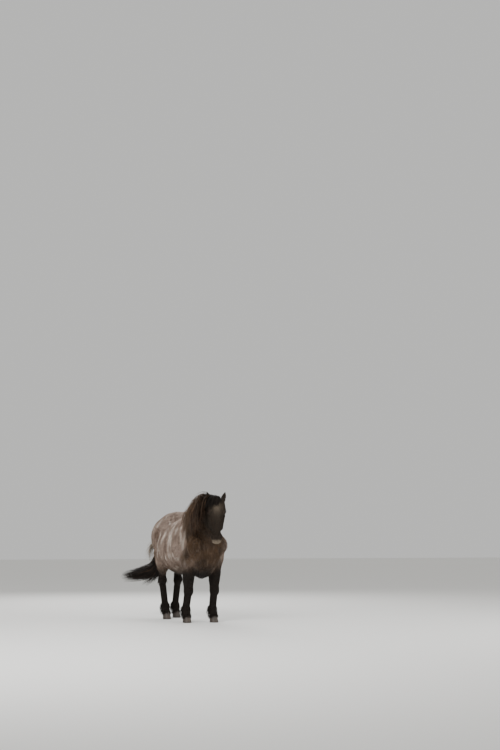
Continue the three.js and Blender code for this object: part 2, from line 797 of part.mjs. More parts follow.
function headWithFeatures() {
  let head = netOver(bodyFromHead, [-150, -110, -590], [150, 260, 70], [20, 20, 27]);
  head = head.intersect(territory(headPlanes, 0));
  for (const side of [1, -1]) {
    head = head.add(lid(side, true)).add(lid(side, false));
    head = head.subtract(eyeOpening(side)).subtract(eyeball(side, EYE_RADIUS + GAP));
    head = head.subtract(nostril(side));
    head = head.subtract(earOutside(side, 2 * GAP));
  }
  return joined([head.subtract(mouthLine()), ...[...Array(FORELOCK_LOCKS).keys()].map(forelockLock)]);
}

addPart("head", headWithFeatures(), finish.face, headGroup);
for (const side of [1, -1]) {
  const word = side > 0 ? "left" : "right";
  addPart(`eye_${word}`, eyeball(side, EYE_RADIUS), finish.eye, headGroup);
  addPart(`ear_${word}`, earOutside(side).subtract(earCup(side)), finish.face, headGroup);
}

// Legs.
function hoof({ coronet, fetlock }) {
  const slope = (coronet[1] - fetlock[1]) / 110;
  const levels = [1, 0.94, 0.05, 0];
  const widths = [0.8, 0.85, 1, 0.985];
  const rings = levels.map((level, n) => {
    const half = (HOOF_WIDTH / 2) * widths[n];
    return [...Array(14).keys()].map((a) => {
      const turn = (a / 14) * 2 * Math.PI;
      const along = half * 1.08 * Math.cos(turn);
      const top = coronet[2] - GAP + along * slope;
      const y = coronet[1] + along + (1 - level) * top * slope * 0.8;
      return [coronet[0] + half * Math.sin(turn), y, level * top];
    });
  });
  return strand(rings, false);
}

// One of the longer locks behind a fetlock.
function featherLock({ fetlock }, turn) {
  const side = Math.sin(turn * DEG);
  const back = Math.cos(turn * DEG);
  const root = shift(fetlock, side * 34, back * 46, -4);
  const pull = new THREE.Vector3(0, 0, -0.9);
  const size = { steps: 3, step: between(24, 29), half: 23, thick: 5, clear: 7, sunk: 10 };
  return drapedLock(body, root, [side * 0.5, back * 0.6, -0.8], pull, size);
}

legs.forEach((leg) => {
  const { name, side, knee, fetlock, coronet } = leg;
  const [kx, ky, kz] = knee;
  const bounds = [side * 8, side * 330].sort((a, b) => a - b);
  const front = Math.min(ky, fetlock[1]) - (leg.fore ? 200 : 380);
  let upper = netOver(body, [bounds[0], front, kz - 130], [bounds[1], ky + 260, 1000], [40, 40, 56]);
  upper = upper.intersect(territory(upperPlanes(leg), GAP / 2));
  upper = without(upper, reversed(kneePlane(leg)));
  addPart(`${name}_upper`, upper, finish.dark);
  let lower = netOver(
    body,
    [kx - 75, Math.min(ky, coronet[1]) - 110, 40],
    [kx + 75, Math.max(ky, coronet[1]) + 110, kz + 20],
    [24, 24, 36],
  );
  lower = without(lower, movedAlong(kneePlane(leg), -GAP));
  lower = without(lower, coronetPlane(leg));
  lower = joined([lower, ...[-55, 0, 55].map((turn) => featherLock(leg, turn))]);
  addPart(`${name}_lower`, lower, finish.dark);
  addPart(`${name}_hoof`, hoof(leg), finish.horn);
});

// The origin is on the ground, under the middle of the horse's outline.
horse.updateMatrixWorld(true);
const outline = new THREE.Box3().setFromObject(horse, true);
const middle = outline.getCenter(new THREE.Vector3());
horse.position.set(-middle.x, -middle.y, 0);
horse.updateMatrixWorld(true);

export default horse;
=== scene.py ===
# %% [markdown]
# # An Icelandic horse in its winter coat
# The horse stands still, its head turned to its right and its tail blown to the side. A shaggy animal
# is best made as it is in life: a skin over the muscles, and hair that grows out of the skin. So the
# skin is one mesh, drawn onto a smooth field of bones and muscles, and the hair is over a hundred
# thousand thin tapering tufts rooted in it. First the fixed model is loaded, for its places and sizes.

# %% Load the fixed model
import math

import bpy
import numpy as np
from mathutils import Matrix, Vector, kdtree


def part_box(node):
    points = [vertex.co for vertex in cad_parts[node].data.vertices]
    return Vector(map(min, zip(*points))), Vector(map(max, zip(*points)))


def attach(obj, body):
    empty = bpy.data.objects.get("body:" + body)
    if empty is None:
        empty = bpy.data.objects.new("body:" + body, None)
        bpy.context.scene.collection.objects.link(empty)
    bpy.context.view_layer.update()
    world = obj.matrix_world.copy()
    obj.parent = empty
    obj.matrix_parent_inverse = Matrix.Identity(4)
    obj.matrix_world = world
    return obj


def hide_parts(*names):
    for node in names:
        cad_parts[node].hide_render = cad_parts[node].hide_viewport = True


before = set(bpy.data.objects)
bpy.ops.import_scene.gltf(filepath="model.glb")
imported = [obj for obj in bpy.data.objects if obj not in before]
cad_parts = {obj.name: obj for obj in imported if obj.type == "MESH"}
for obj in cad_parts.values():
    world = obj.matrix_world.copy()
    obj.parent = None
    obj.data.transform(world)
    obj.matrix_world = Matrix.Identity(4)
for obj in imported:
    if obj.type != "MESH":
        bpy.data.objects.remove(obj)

bpy.ops.object.select_all(action="DESELECT")
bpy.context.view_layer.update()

# %% [markdown]
# ## The anatomy as a field
# Every muscle is a ball or a tapering bone with a distance function, and neighbours melt together over
# a given width. The field is negative inside the coat's surface. It is written in millimetres in the
# animal's own frame, where the ground is at zero, the face looks along -Y and the left side is at +X.

# %% Forms that melt together
MM = 0.001
HOOF_WIDTH = 108
EYE_RADIUS = 21
POLL = np.array([-44, -914, 1537])  # top of the skull, the origin of the head's frame
HEAD_YAW = math.radians(-22)
HEAD_PITCH = math.radians(-10)
HEAD_FROM = -640  # the head melts into the neck ahead of this
HEAD_MELT = 42
DOCK_FROM = 600  # and the dock into the croup behind this
PASTERN_FALL = 110  # how far the pastern drops, for the slant of hoof and coronet


def ball(at, size, soft=60):
    at, size = np.array(at, float), np.array(size, float)

    def distance(p):
        q = (p - at) / size
        reach = np.linalg.norm(q, axis=1)
        slope = np.maximum(np.linalg.norm(q / size, axis=1), 1e-6)
        return reach * (reach - 1) / slope

    return {"distance": distance, "soft": soft, "ends": [(at, size)]}


def bone(start, end, start_radius, end_radius, soft=60, wide=1):
    start, end = np.array(start, float), np.array(end, float)
    along = end - start

    def distance(p):
        t = np.clip((p - start) @ along / (along @ along), 0, 1)
        q = p - start - t[:, None] * along
        q[:, 0] /= wide
        radius = start_radius + t * (end_radius - start_radius)
        return (np.linalg.norm(q, axis=1) - radius) * min(1, wide)

    squeeze = np.array([wide, 1, 1])
    ends = [(start, start_radius * squeeze), (end, end_radius * squeeze)]
    return {"distance": distance, "soft": soft, "ends": ends}


def melt(a, b, soft):
    """The lesser of two distances, rounded where they meet."""
    h = np.maximum(soft - np.abs(a - b), 0) / soft
    return np.minimum(a, b) - h**3 * soft / 6


def carved(a, b, soft):
    """The form a with the form b taken out of it."""
    return -melt(-a, b, soft)


def melt_all(forms, p):
    d = np.full(len(p), 1e6)
    for form in forms:
        d = melt(d, form["distance"](p), form["soft"])
    return d


def chain(points, radii, soft):
    pairs = zip(points[:-1], points[1:], radii[:-1], radii[1:])
    return [bone(a, b, ra, rb, soft) for a, b, ra, rb in pairs]


# %% Trunk, neck and skull
trunk = [
    ball([0, -120, 985], [255, 440, 345]),  # rib cage
    ball([0, 130, 930], [308, 400, 345], 120),  # belly
    ball([0, -420, 895], [208, 240, 338], 120),  # chest
    ball([72, -575, 850], [92, 96, 160], 50),  # breast muscle
    bone([95, -310, 1260], [158, -560, 965], 76, 90, 90),  # shoulder blade
    bone([164, -560, 950], [180, -405, 790], 94, 106, 70),  # upper arm
    bone([0, -335, 1352], [0, -110, 1332], 62, 68, 110),  # withers
    bone([0, -110, 1316], [0, 330, 1304], 76, 84, 100),  # back
    ball([0, 446, 1192], [202, 262, 198], 90),  # croup
    ball([132, 498, 1060], [160, 244, 240], 90),  # haunch
    bone([102, 655, 1080], [120, 610, 830], 92, 100, 70),  # buttock
    ball([150, 310, 900], [142, 180, 215], 100),  # flank
    bone([0, 600, 1225], [0, 715, 1190], 66, 46, 60),  # root of the dock
]
neck = [
    bone([0, -380, 1120], [-10, -570, 1225], 185, 152, 60, 0.82),
    bone([-10, -570, 1225], [-35, -735, 1340], 152, 122, 60, 0.82),
    bone([-35, -735, 1340], [-58, -850, 1410], 122, 98, 60, 0.86),
    bone([0, -300, 1305], [-5, -480, 1405], 64, 58, 60),
    bone([-5, -480, 1405], [-25, -660, 1468], 58, 54, 50),
    bone([-25, -660, 1468], [-60, -850, 1488], 54, 56, 50),
    bone([0, -560, 1010], [-20, -680, 1165], 118, 88, 70),
    bone([-20, -680, 1165], [-48, -780, 1320], 88, 70, 50),
]
skull = [
    ball([0, 48, -85], [90, 84, 92]),  # cranium
    ball([0, 32, -170], [97, 68, 115], 40),  # forehead
    ball([82, 26, -186], [34, 40, 38], 30),  # eye socket
    bone([0, 40, -200], [0, 46, -450], 70, 52, 45, 0.96),  # nasal bone
    ball([56, 140, -205], [46, 92, 118], 40),  # jowl
    bone([54, 95, -215], [42, 85, -360], 54, 43, 40),  # cheek
    bone([38, 165, -255], [24, 112, -445], 33, 29, 40),  # jaw bar
    ball([0, 56, -490], [69, 58, 68], 40),  # muzzle
    ball([43, 24, -490], [28, 25, 38], 20),  # wing of the nostril
    ball([0, 38, -542], [56, 36, 34], 18),  # upper lip
    ball([0, 90, -522], [42, 34, 36], 12),  # lower lip and chin
    bone([88, 62, -228], [66, 62, -340], 17, 13, 24),  # cheek ridge
    bone([70, 30, -55], [88, 22, -150], 30, 26, 30),  # temple
]
dock = chain(
    [[0, 690, 1195], [0, 764, 1120], [-8, 818, 1000], [-30, 840, 900]],
    [46, 38, 28, 16],
    50,
)

# %% Legs
LEGS = [
    ("left_fore", 1, [172, -415, 800], [164, -428, 392], [158, -395, 168], [156, -428, 78]),
    ("right_fore", -1, [-172, -395, 800], [-172, -385, 388], [-174, -322, 168], [-176, -350, 78]),
    ("left_hind", 1, [178, 420, 830], [132, 640, 520], [120, 690, 170], [118, 656, 78]),
    ("right_hind", -1, [-178, 350, 820], [-140, 530, 518], [-126, 452, 170], [-124, 414, 78]),
]


def shifted(point, dx, dy, dz):
    return [point[0] + dx, point[1] + dy, point[2] + dz]


def fore_leg(side, top, knee, fetlock, coronet):
    return [
        bone(top, shifted(knee, 0, 0, 60), 112, 55, 70, 0.94),  # forearm
        bone(shifted(top, side * 6, 62, 10), shifted(top, 0, 40, -150), 52, 42, 50),  # elbow
        ball(shifted(knee, 0, -6, 4), [53, 54, 64], 40),  # knee
        bone(knee, fetlock, 41, 39, 30),  # cannon
        bone(shifted(knee, 0, 24, -30), shifted(fetlock, 0, 22, 10), 27, 27, 24),  # tendons
        ball(shifted(fetlock, 0, 4, 0), [46, 50, 48], 30),  # fetlock
        bone(fetlock, coronet, 40, 45, 30),  # pastern
    ]


def hind_leg(side, top, knee, fetlock, coronet):
    kx, ky, kz = knee
    thigh = [side * 158, ky - 70, 860]
    stifle = shifted(top, -side * 8, 10, 20)
    hamstring = [side * 148, ky - 20, 740]
    return [
        bone(stifle, shifted(top, -side * 2, 60, -60), 108, 92, 90),  # stifle
        bone(thigh, [side * 150, ky - 50, 720], 128, 88, 80),  # thigh
        bone(shifted(top, 0, 60, -60), shifted(knee, 0, -18, 70), 86, 50, 70, 0.85),  # gaskin
        bone(hamstring, shifted(knee, 0, 36, 70), 58, 26, 60),  # hamstring tendon
        ball(shifted(knee, 0, -6, 0), [48, 56, 66], 40),  # hock
        bone(shifted(knee, 0, 44, 66), shifted(knee, 0, 30, -20), 26, 26, 30),  # point of the hock
        bone([kx, ky - 2, kz - 20], fetlock, 36, 35, 30),  # cannon
        bone(shifted(knee, 0, 26, -40), shifted(fetlock, 0, 20, 10), 27, 27, 24),  # tendons
        ball(shifted(fetlock, 0, 4, 0), [46, 50, 48], 30),  # fetlock
        bone(fetlock, coronet, 40, 44, 30),  # pastern
    ]


leg_forms = [(fore_leg if "fore" in name else hind_leg)(*joints) for name, *joints in LEGS]
print("forms", len(trunk) + len(neck) + len(skull) + sum(len(forms) for forms in leg_forms))

# %% [markdown]
# ## The head's frame, and the place of the animal in the fixed model
# The head is described with its poll at the origin and the face looking along -Y, so that left and
# right mirror. The fixed model is centred under its outline, and its left eye tells by how much.

# %% Frames and gradients
X, Y, Z = 0, 1, 2


def turning(first, second, angle):
    """The matrix that turns the first axis towards the second."""
    turn = np.eye(3)
    turn[first, first] = turn[second, second] = math.cos(angle)
    turn[second, first] = math.sin(angle)
    turn[first, second] = -turn[second, first]
    return turn


HEAD_TURN = turning(X, Y, HEAD_YAW) @ turning(Y, Z, HEAD_PITCH)
EYE = np.array([89, 8, -186])


def out_of_head(q):
    return q @ HEAD_TURN.T + POLL


def into_head(p):
    return (p - POLL) @ HEAD_TURN


eye_low, eye_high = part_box("eye_left")
eye_middle = (np.array(eye_low) + np.array(eye_high)) / 2 / MM
SHIFT = eye_middle - out_of_head(EYE[None])[0]
SHIFT[2] = 0


def to_scene(p):
    return (p + SHIFT) * MM


def from_scene(p):
    return p / MM - SHIFT


def mirrored(p):
    return np.column_stack([np.abs(p[:, 0]), p[:, 1], p[:, 2]])


def into_half_head(p):
    """The head's frame with right folded onto left."""
    return mirrored(into_head(p))


def away(p, point):
    return np.linalg.norm(p - point, axis=1)


def body_without_head(p):
    d = melt_all(trunk, mirrored(p))
    d = melt(d, melt_all(neck, p), 80)
    for (name, side, top, *_), forms in zip(LEGS, leg_forms):
        near = (p[:, 2] < 1080) & (p[:, 0] * side > -60) & (np.abs(p[:, 1] - top[1]) < 520)
        if near.any():
            d[near] = melt(d[near], melt_all(forms, p[near]), 60)
    return d


def bare_skull(q):
    return melt_all(skull, q)


def with_head(p, head_field):
    d = body_without_head(p)
    near = p[:, 1] < HEAD_FROM
    if near.any():
        d[near] = melt(d[near], head_field(into_half_head(p[near])), HEAD_MELT)
    return d


def body(p):
    return with_head(p, bare_skull)


def slope_of(field, p, step=0.6):
    total = np.zeros_like(p)
    for way in np.array([[1, -1, -1], [-1, -1, 1], [-1, 1, -1], [1, 1, 1]]):
        total += way * field(p + step * way)[:, None]
    return total / (4 * step)


def unit(v):
    return v / np.maximum(np.linalg.norm(v, axis=-1), 1e-9)[..., None]


def drawn_onto(field, p, level=0, rounds=4, limit=12):
    """Moves points along the field's slope until they lie on the given level of it."""
    p = np.array(p, float)
    for _ in range(rounds):
        g = slope_of(field, p)
        move = (field(p) - level) / np.maximum((g * g).sum(1), 0.05)
        p -= g * np.clip(move, -limit, limit)[:, None]
    return p


def ramp(low, high, value):
    t = np.clip((value - low) / (high - low), 0, 1)
    return t * t * (3 - 2 * t)


print("shift of the animal in the model (mm)", SHIFT.round(3))

# %% [markdown]
# ## The face
# Lids close over the eyeball, with a fold above them. The nostrils are slanting oval hollows with a
# raised rim, and a groove parts the lips. All of these are forms too, added to or carved from the skull.

# %% Lids, nostrils and lips
SLIT_ALONG = np.array([0, 0.64, 0.77])
SLIT_ACROSS = np.array([0, -0.77, 0.64])
SLIT_SLANT = 0.693
SLIT_HALF = 19
SLIT_RISE = 12
NOSTRIL_SLANT = (-0.25, -0.7)


def on_eye(angle, radius, half, rise):
    a, b = half * math.cos(angle), rise * math.sin(angle)
    out = math.sqrt(radius**2 - a**2 - b**2)
    return EYE + [out, 0, 0] + a * SLIT_ALONG + b * SLIT_ACROSS


def lid(upper):
    turns = [t * math.pi * (1 if upper else -1) for t in (-0.12, 0.12, 0.3, 0.5, 0.7, 0.88, 1.12)]
    points = [on_eye(turn, EYE_RADIUS - 1, SLIT_HALF, SLIT_RISE) for turn in turns]
    thick = 7 if upper else 6
    return chain(points, [v * thick for v in (0.5, 0.8, 1, 1, 1, 0.8, 0.5)], 6)


def turned(q, about_x, about_z):
    return q @ turning(Y, Z, about_x).T @ turning(X, Y, about_z).T


lids = lid(True) + lid(False)
eye_hole = ball([0, 0, 0], [15, SLIT_RISE - 1, SLIT_HALF - 1])
nostril_at = np.array([54, 0, -500])
nostril_hole = ball([0, 0, 0], [10, 12, 21])
nostril_rim = ball([0, 0, 0], [14, 19, 28])
mouth_points = [[46, 92, -458], [52, 80, -486], [46, 70, -520], [30, 64, -548], [0, 62, -562]]
mouth = chain(list(drawn_onto(bare_skull, mouth_points)), [1.5, 3, 3.6, 3.6, 3.6], 3)
fold_points = []
for share in (0.12, 0.3, 0.5, 0.7, 0.86):
    a, b = 26 * math.cos(math.pi * share), 20 * math.sin(math.pi * share)
    fold_points.append(EYE + [14, 0, 0] + a * SLIT_ALONG + b * SLIT_ACROSS)
fold = chain(list(drawn_onto(bare_skull, fold_points)), [1.2, 2.2, 2.6, 2.2, 1.2], 3)


def face(q):
    d = bare_skull(q)
    at_nostril = turned(q - nostril_at, *NOSTRIL_SLANT)
    d = melt(d, nostril_rim["distance"](at_nostril), 16)
    d = melt(d, melt_all(lids, q), 7)
    between_lids = eye_hole["distance"](turned(q - EYE - [19, 0, 0], SLIT_SLANT, 0))
    over_ball = EYE_RADIUS - 3 - away(q, EYE)
    d = carved(d, np.maximum(between_lids, over_ball), 3)
    d = carved(d, nostril_hole["distance"](at_nostril), 5)
    d = carved(d, melt_all(mouth, q), 5)
    return carved(d, melt_all(fold, q), 5)


def in_ear(p):
    q = into_half_head(p)
    return ramp(-14, 4, q[:, 2]) * ramp(40, 58, q[:, 0] + 0.25 * q[:, 2]) * (p[:, 1] < -700)


def in_face(p):
    q = into_head(p)
    ahead = (q[:, 1] - 92) * 0.82 + (q[:, 2] - 10) * 0.57
    below = (q[:, 1] - 205) * 0.97 + (q[:, 2] + 330) * -0.25
    share = (1 - ramp(-25, 25, np.maximum(ahead, below))) * (p[:, 1] < -700)
    return np.maximum(share, in_ear(p))


def coat_depth(p):
    q = into_half_head(p)
    depth = 3 + 12 * ramp(420, 760, p[:, 2])
    depth += (3.5 - depth) * in_face(p)
    depth *= ramp(24, 44, away(q, EYE))
    return depth * (0.2 + 0.8 * ramp(20, 60, away(q, nostril_at)))


def skin_field(p):
    d = with_head(p, face)
    near = p[:, 1] > DOCK_FROM
    if near.any():
        d[near] = melt(d[near], melt_all(dock, p[near]), 30)
    return d + coat_depth(p)


print("mouth, lids, folds", len(mouth), len(lids), len(fold))

# %% [markdown]
# ## One skin
# Each form is added as a plain ball or as the hull of two balls, all are joined, and a voxel remesh
# makes one closed mesh of them. Its corners are then drawn onto the field, and the head is split into
# smaller faces on the way, because the eye looks longest at the face.

# %% Rough body from balls and hulls
VOXEL = 0.012


def take(*things):
    """Selects these things alone, with the first as the active one."""
    bpy.ops.object.select_all(action="DESELECT")
    for thing in things:
        thing.select_set(True)
    bpy.context.view_layer.objects.active = things[0]


def modify(thing, kind, **settings):
    modifier = thing.modifiers.new(kind.lower(), kind)
    for key, value in settings.items():
        setattr(modifier, key, value)
    bpy.ops.object.modifier_apply(modifier=modifier.name)


def rough_form(form, on_head=False, flip=False):
    for n, (at, size) in enumerate(form["ends"]):
        at = at * ([-1, 1, 1] if flip else [1, 1, 1])
        if on_head:
            at = out_of_head(at[None])[0]
        inner = np.maximum(np.array(size) - 8, 6)
        if n == 0:
            bpy.ops.mesh.primitive_ico_sphere_add(
                subdivisions=3, radius=1, location=to_scene(at), scale=inner * MM
            )
            bpy.ops.object.transform_apply()
            bpy.ops.object.mode_set(mode="EDIT")
        else:
            bpy.ops.mesh.primitive_ico_sphere_add(
                subdivisions=3, radius=MM * float(inner.mean()), location=to_scene(at)
            )
            bpy.ops.mesh.select_all(action="SELECT")
            bpy.ops.mesh.convex_hull()
    bpy.ops.object.mode_set(mode="OBJECT")
    return bpy.context.object


rough = []
for forms, on_head in ((trunk, False), (skull, True)):
    for form in forms:
        rough.append(rough_form(form, on_head))
        if form["ends"][0][0][0] != 0:
            rough.append(rough_form(form, on_head, flip=True))
rough += [rough_form(form) for form in neck + dock + [f for forms in leg_forms for f in forms]]
take(*rough)
bpy.ops.object.join()
skin = bpy.context.object
skin.name = "skin"
bpy.ops.object.transform_apply()
modify(skin, "REMESH", mode="VOXEL", voxel_size=VOXEL)
print("rough skin", len(skin.data.vertices))

# %% Draw the skin onto the field
def read_rows(items, name, width, kind=float):
    values = np.empty(len(items) * width, kind)
    items.foreach_get(name, values)
    return values.reshape(-1, width)


def write_rows(items, name, values, kind=np.float32):
    items.foreach_set(name, np.ascontiguousarray(values, dtype=kind).ravel())


def corners_of(mesh):
    return read_rows(mesh.vertices, "co", 3)


def set_corners(mesh, co):
    write_rows(mesh.vertices, "co", co)
    mesh.update()


def draw_skin(rounds, which=None):
    co = from_scene(corners_of(skin.data))
    which = np.ones(len(co), bool) if which is None else which(co)
    co[which] = drawn_onto(skin_field, co[which], rounds=rounds, limit=8)
    set_corners(skin.data, to_scene(co))


def split_faces(which, cuts):
    co = from_scene(corners_of(skin.data))
    chosen = which(co)
    flags = [bool(chosen[list(one.vertices)].all()) for one in skin.data.polygons]
    bpy.ops.object.mode_set(mode="EDIT")
    bpy.ops.mesh.select_all(action="DESELECT")
    bpy.ops.mesh.select_mode(type="FACE")
    bpy.ops.object.mode_set(mode="OBJECT")
    skin.data.polygons.foreach_set("select", flags)
    bpy.ops.object.mode_set(mode="EDIT")
    bpy.ops.mesh.subdivide(number_cuts=cuts)
    bpy.ops.object.mode_set(mode="OBJECT")


def head_zone(p):
    return in_face(p) > 0.2


def feature_zone(p):
    q = into_half_head(p)
    by_eye = away(q, EYE) < 48
    by_nostril = away(q, nostril_at) < 46
    by_mouth = melt_all(mouth, q) < 16
    return (by_eye | by_nostril | by_mouth) & (p[:, 1] < -700)


draw_skin(5)
modify(skin, "SMOOTH", factor=0.5, iterations=4)
draw_skin(4)
split_faces(head_zone, 2)
draw_skin(4, head_zone)
modify(skin, "SMOOTH", factor=0.5, iterations=2)
draw_skin(4)
split_faces(feature_zone, 1)
draw_skin(5, feature_zone)
print("skin corners", len(skin.data.vertices))

# %% Level the ends of the pasterns inside the hooves
co = from_scene(corners_of(skin.data))
for name, side, top, knee, fetlock, coronet in LEGS:
    normal = np.array([0, coronet[1] - fetlock[1], -PASTERN_FALL])
    normal = normal / np.linalg.norm(normal)
    reach = (co - coronet) @ normal - 6
    near = (away(co, coronet) < 110) & (reach > 0)
    co[near] -= reach[near, None] * normal
set_corners(skin.data, to_scene(co))
print("levelled at", [name for name, *_ in LEGS])

# %% [markdown]
# ## Ears
# An ear is a leaf rolled into a cup: thin, open to the front, and rooted in the head. An outer and an
# inner body are lofted through rings, and the inner one is taken out of the outer one.


# %% Loft and cut the ears
EAR_ROOT = np.array([72, 50, -40])
EAR_LENGTH = 118
EAR_SIDES = 26
SHARP = math.radians(50)  # edges sharper than this stay sharp to the light


def direction(v):
    return np.array(v) / np.linalg.norm(v)


def turn_faces_outward():
    bpy.ops.object.mode_set(mode="EDIT")
    bpy.ops.mesh.select_all(action="SELECT")
    bpy.ops.mesh.normals_make_consistent(inside=False)
    bpy.ops.object.mode_set(mode="OBJECT")


def lofted(name, rings):
    rings = np.array(rings)
    count, sides = rings.shape[:2]
    faces = []
    for n in range(count - 1):
        low, high = n * sides, (n + 1) * sides
        for a in range(sides):
            b = (a + 1) % sides
            faces.append((low + a, low + b, high + b, high + a))
    faces += [tuple(reversed(range(sides))), tuple(range((count - 1) * sides, count * sides))]
    mesh = bpy.data.meshes.new(name)
    mesh.from_pydata(rings.reshape(-1, 3).tolist(), [], faces)
    made = bpy.data.objects.new(name, mesh)
    bpy.context.collection.objects.link(made)
    take(made)
    turn_faces_outward()
    return made


def ear_rings(side, steps, width, depth, forward, rows=14):
    axis = direction([side * 0.34, 0.1, 0.93])
    root_normal = direction([side * 0.72, 0, 0.69])
    facing = np.array([side * 0.4, -0.91, 0])
    rings = []
    for t in np.linspace(steps[0], steps[-1], rows):
        up = direction(root_normal + (axis - root_normal) * min(1, max(t, 0) * 4))
        across = direction(np.cross(facing, up))
        ahead = np.cross(up, across)
        middle = EAR_ROOT * [side, 1, 1] + root_normal * min(t, 0.1) * EAR_LENGTH
        middle = middle + axis * max(t - 0.1, 0) * EAR_LENGTH
        middle = middle + ahead * (np.interp(t, steps, forward) - 10 * t * t)
        turn = np.linspace(0, 2 * math.pi, EAR_SIDES, endpoint=False)[:, None]
        ring = middle + across * np.interp(t, steps, width) * np.cos(turn)
        ring = ring + ahead * np.interp(t, steps, depth) * np.sin(turn)
        rings.append(to_scene(out_of_head(ring)))
    return rings


ears = []
for side, word in ((1, "left"), (-1, "right")):
    steps = [-0.25, 0, 0.12, 0.3, 0.5, 0.7, 0.86, 0.97]
    width = [24, 24, 26, 28.5, 26.5, 20, 11, 3]
    depth = [22, 22, 22, 20, 16, 11, 6, 2]
    outer = lofted("ear_" + word + "_skin", ear_rings(side, steps, width, depth, [0] * 8))
    steps = [0.16, 0.24, 0.34, 0.5, 0.7, 0.86, 0.95]
    width = [6, 16, 22, 22.5, 16.5, 8.5, 1.5]
    depth = [6, 13, 16, 16, 12, 7, 2]
    ahead = [15, 13, 12, 10, 8, 5.5, 4]
    cup = lofted("cup", ear_rings(side, steps, width, depth, ahead, 12))
    take(outer)
    modify(outer, "BOOLEAN", object=cup, operation="DIFFERENCE", solver="EXACT")
    bpy.data.objects.remove(cup)
    ears.append(outer)
    print("ear", word, len(outer.data.vertices))

take(skin, *ears)
bpy.ops.object.join()
bpy.ops.object.shade_smooth_by_angle(angle=SHARP)
print("skin with ears", len(skin.data.vertices))

# %% [markdown]
# ## An unwrap for skin and hair
# The skin is laid flat once. Each tuft then takes a tiny patch of that map at its root, so that the
# colours of hair and skin agree when they are baked.

# %% Unwrap the skin
BAKE_MAP = "OFBake"
while skin.data.uv_layers:
    skin.data.uv_layers.remove(skin.data.uv_layers[0])
skin.data.uv_layers.new(name=BAKE_MAP)
bpy.ops.object.mode_set(mode="EDIT")
bpy.ops.mesh.select_all(action="SELECT")
bpy.ops.uv.smart_project(angle_limit=math.radians(75), island_margin=0.002)
bpy.ops.object.mode_set(mode="OBJECT")
print("unwrapped", len(skin.data.uv_layers[BAKE_MAP].data), "corners")

# %% [markdown]
# ## The markings
# The body is a light greyish roan, the shoulders, chest and thighs a warm brown, the legs and the face
# nearly black, and the lips pale. Five values on each corner of each mesh tell the material where it
# is: how black, how brown and how pale, how far along the hair, and the hair's own tone. On the skin
# the tone value holds painted shade instead, deep in the nostrils and in the parting of the lips.


# %% Markings by place
def wander(p, size, seed_shift=0.0):
    x, y, z = (p / size + seed_shift).T
    waves = np.sin(x * 1.7 + 2.1 * np.sin(y * 0.9)) + np.sin(y * 1.3 + 1.7 * np.sin(z * 1.1 + x))
    return (waves + np.sin(z * 1.9 + 1.3 * np.sin(x * 1.2))) / 3


def markings(p):
    """How black, brown and pale the hair is at each place, from 0 to 1."""
    x, y, z = p.T
    q = into_head(p)
    drift = 45 * wander(p, 70)
    face_share = in_face(p)
    black = 1 - ramp(np.where(y < -200, 610, 560), np.where(y < -200, 860, 760), z + drift)
    brown_chest = 1 - ramp(-560, -270, y + 1.6 * drift - 0.16 * (z - 900))
    brown_chest *= (1 - 0.25 * ramp(1150, 1400, z)) * (1 - 0.5 * ramp(130, 240, x + drift))
    brown_thigh = 0.9 * ramp(300, 520, y + drift) * (1 - ramp(880, 1120, z + drift))
    brown_belly = 0.75 * (1 - ramp(660, 860, z + drift))
    brown = np.maximum.reduce([brown_chest, brown_thigh, brown_belly])
    on_neck = 1 - ramp(-760, -560, y)
    black = np.maximum(black, 0.75 * on_neck)
    throat = np.exp(-(((x + 20) / 150) ** 2)) * ramp(700, 1000, z)
    throat *= 1 - ramp(-640, -540, y)
    black = np.maximum(black, 0.75 * throat * (0.7 + 0.3 * wander(p, 45, 2.0)))
    black = np.maximum(black, 0.6 * brown_chest * ramp(-0.3, 0.5, wander(p, 60, 5.0)))
    black = np.maximum(black, 0.97 * face_share)
    forehead = face_share * np.exp(-((q[:, 0] / 55) ** 2 + ((q[:, 2] + 120) / 90) ** 2))
    forehead = forehead * (q[:, 1] < 40)
    lips = 1 - ramp(-552, -500, q[:, 2] + 9 * wander(p, 9) - 0.25 * (q[:, 1] - 60))
    pale = np.maximum(0.34 * forehead, 0.85 * face_share * lips)
    by_nostril = 1 - ramp(14, 34, away(mirrored(q), nostril_at))
    by_eye = 1 - ramp(20, 36, away(mirrored(q), EYE))
    pale = pale * (1 - np.maximum(by_nostril, by_eye))
    return {"black": black, "brown": brown, "pale": pale}


def hollow_shade_of(p):
    """How deep a place lies in a nostril or the mouth, where painted shade darkens the skin."""
    q = into_half_head(p)
    at_nostril = nostril_hole["distance"](turned(q - nostril_at, *NOSTRIL_SLANT))
    deep = np.maximum(1 - ramp(-6, 5, at_nostril), 1 - ramp(1, 5, melt_all(mouth, q)))
    return deep * in_face(p)


def give_values(mesh, values):
    for name, value in values.items():
        write_rows(mesh.attributes.new(name, "FLOAT", "POINT").data, "value", value)


skin_mm = from_scene(corners_of(skin.data))
skin_values = markings(skin_mm)
skin_values["along"] = np.full(len(skin_mm), 0.75)
# painted shade: the skin turns near black deep in the nostrils and in the parting of the lips
skin_values["tone"] = -3.2 * hollow_shade_of(skin_mm)
give_values(skin.data, skin_values)
print("black share of the skin", skin_values["black"].mean().round(3))

# %% [markdown]
# ## Tufts
# A tuft is a thin ribbon with a low ridge that tapers to a point. All tufts of a piece are made at
# once, from arrays of paths, because a call for each of a hundred thousand would take too long.

# %% Ribbons from paths
random = np.random.default_rng(20)
PATCH = 0.0015  # half of a tuft's patch on the map
TRIANGLES_A_PIECE = 190000


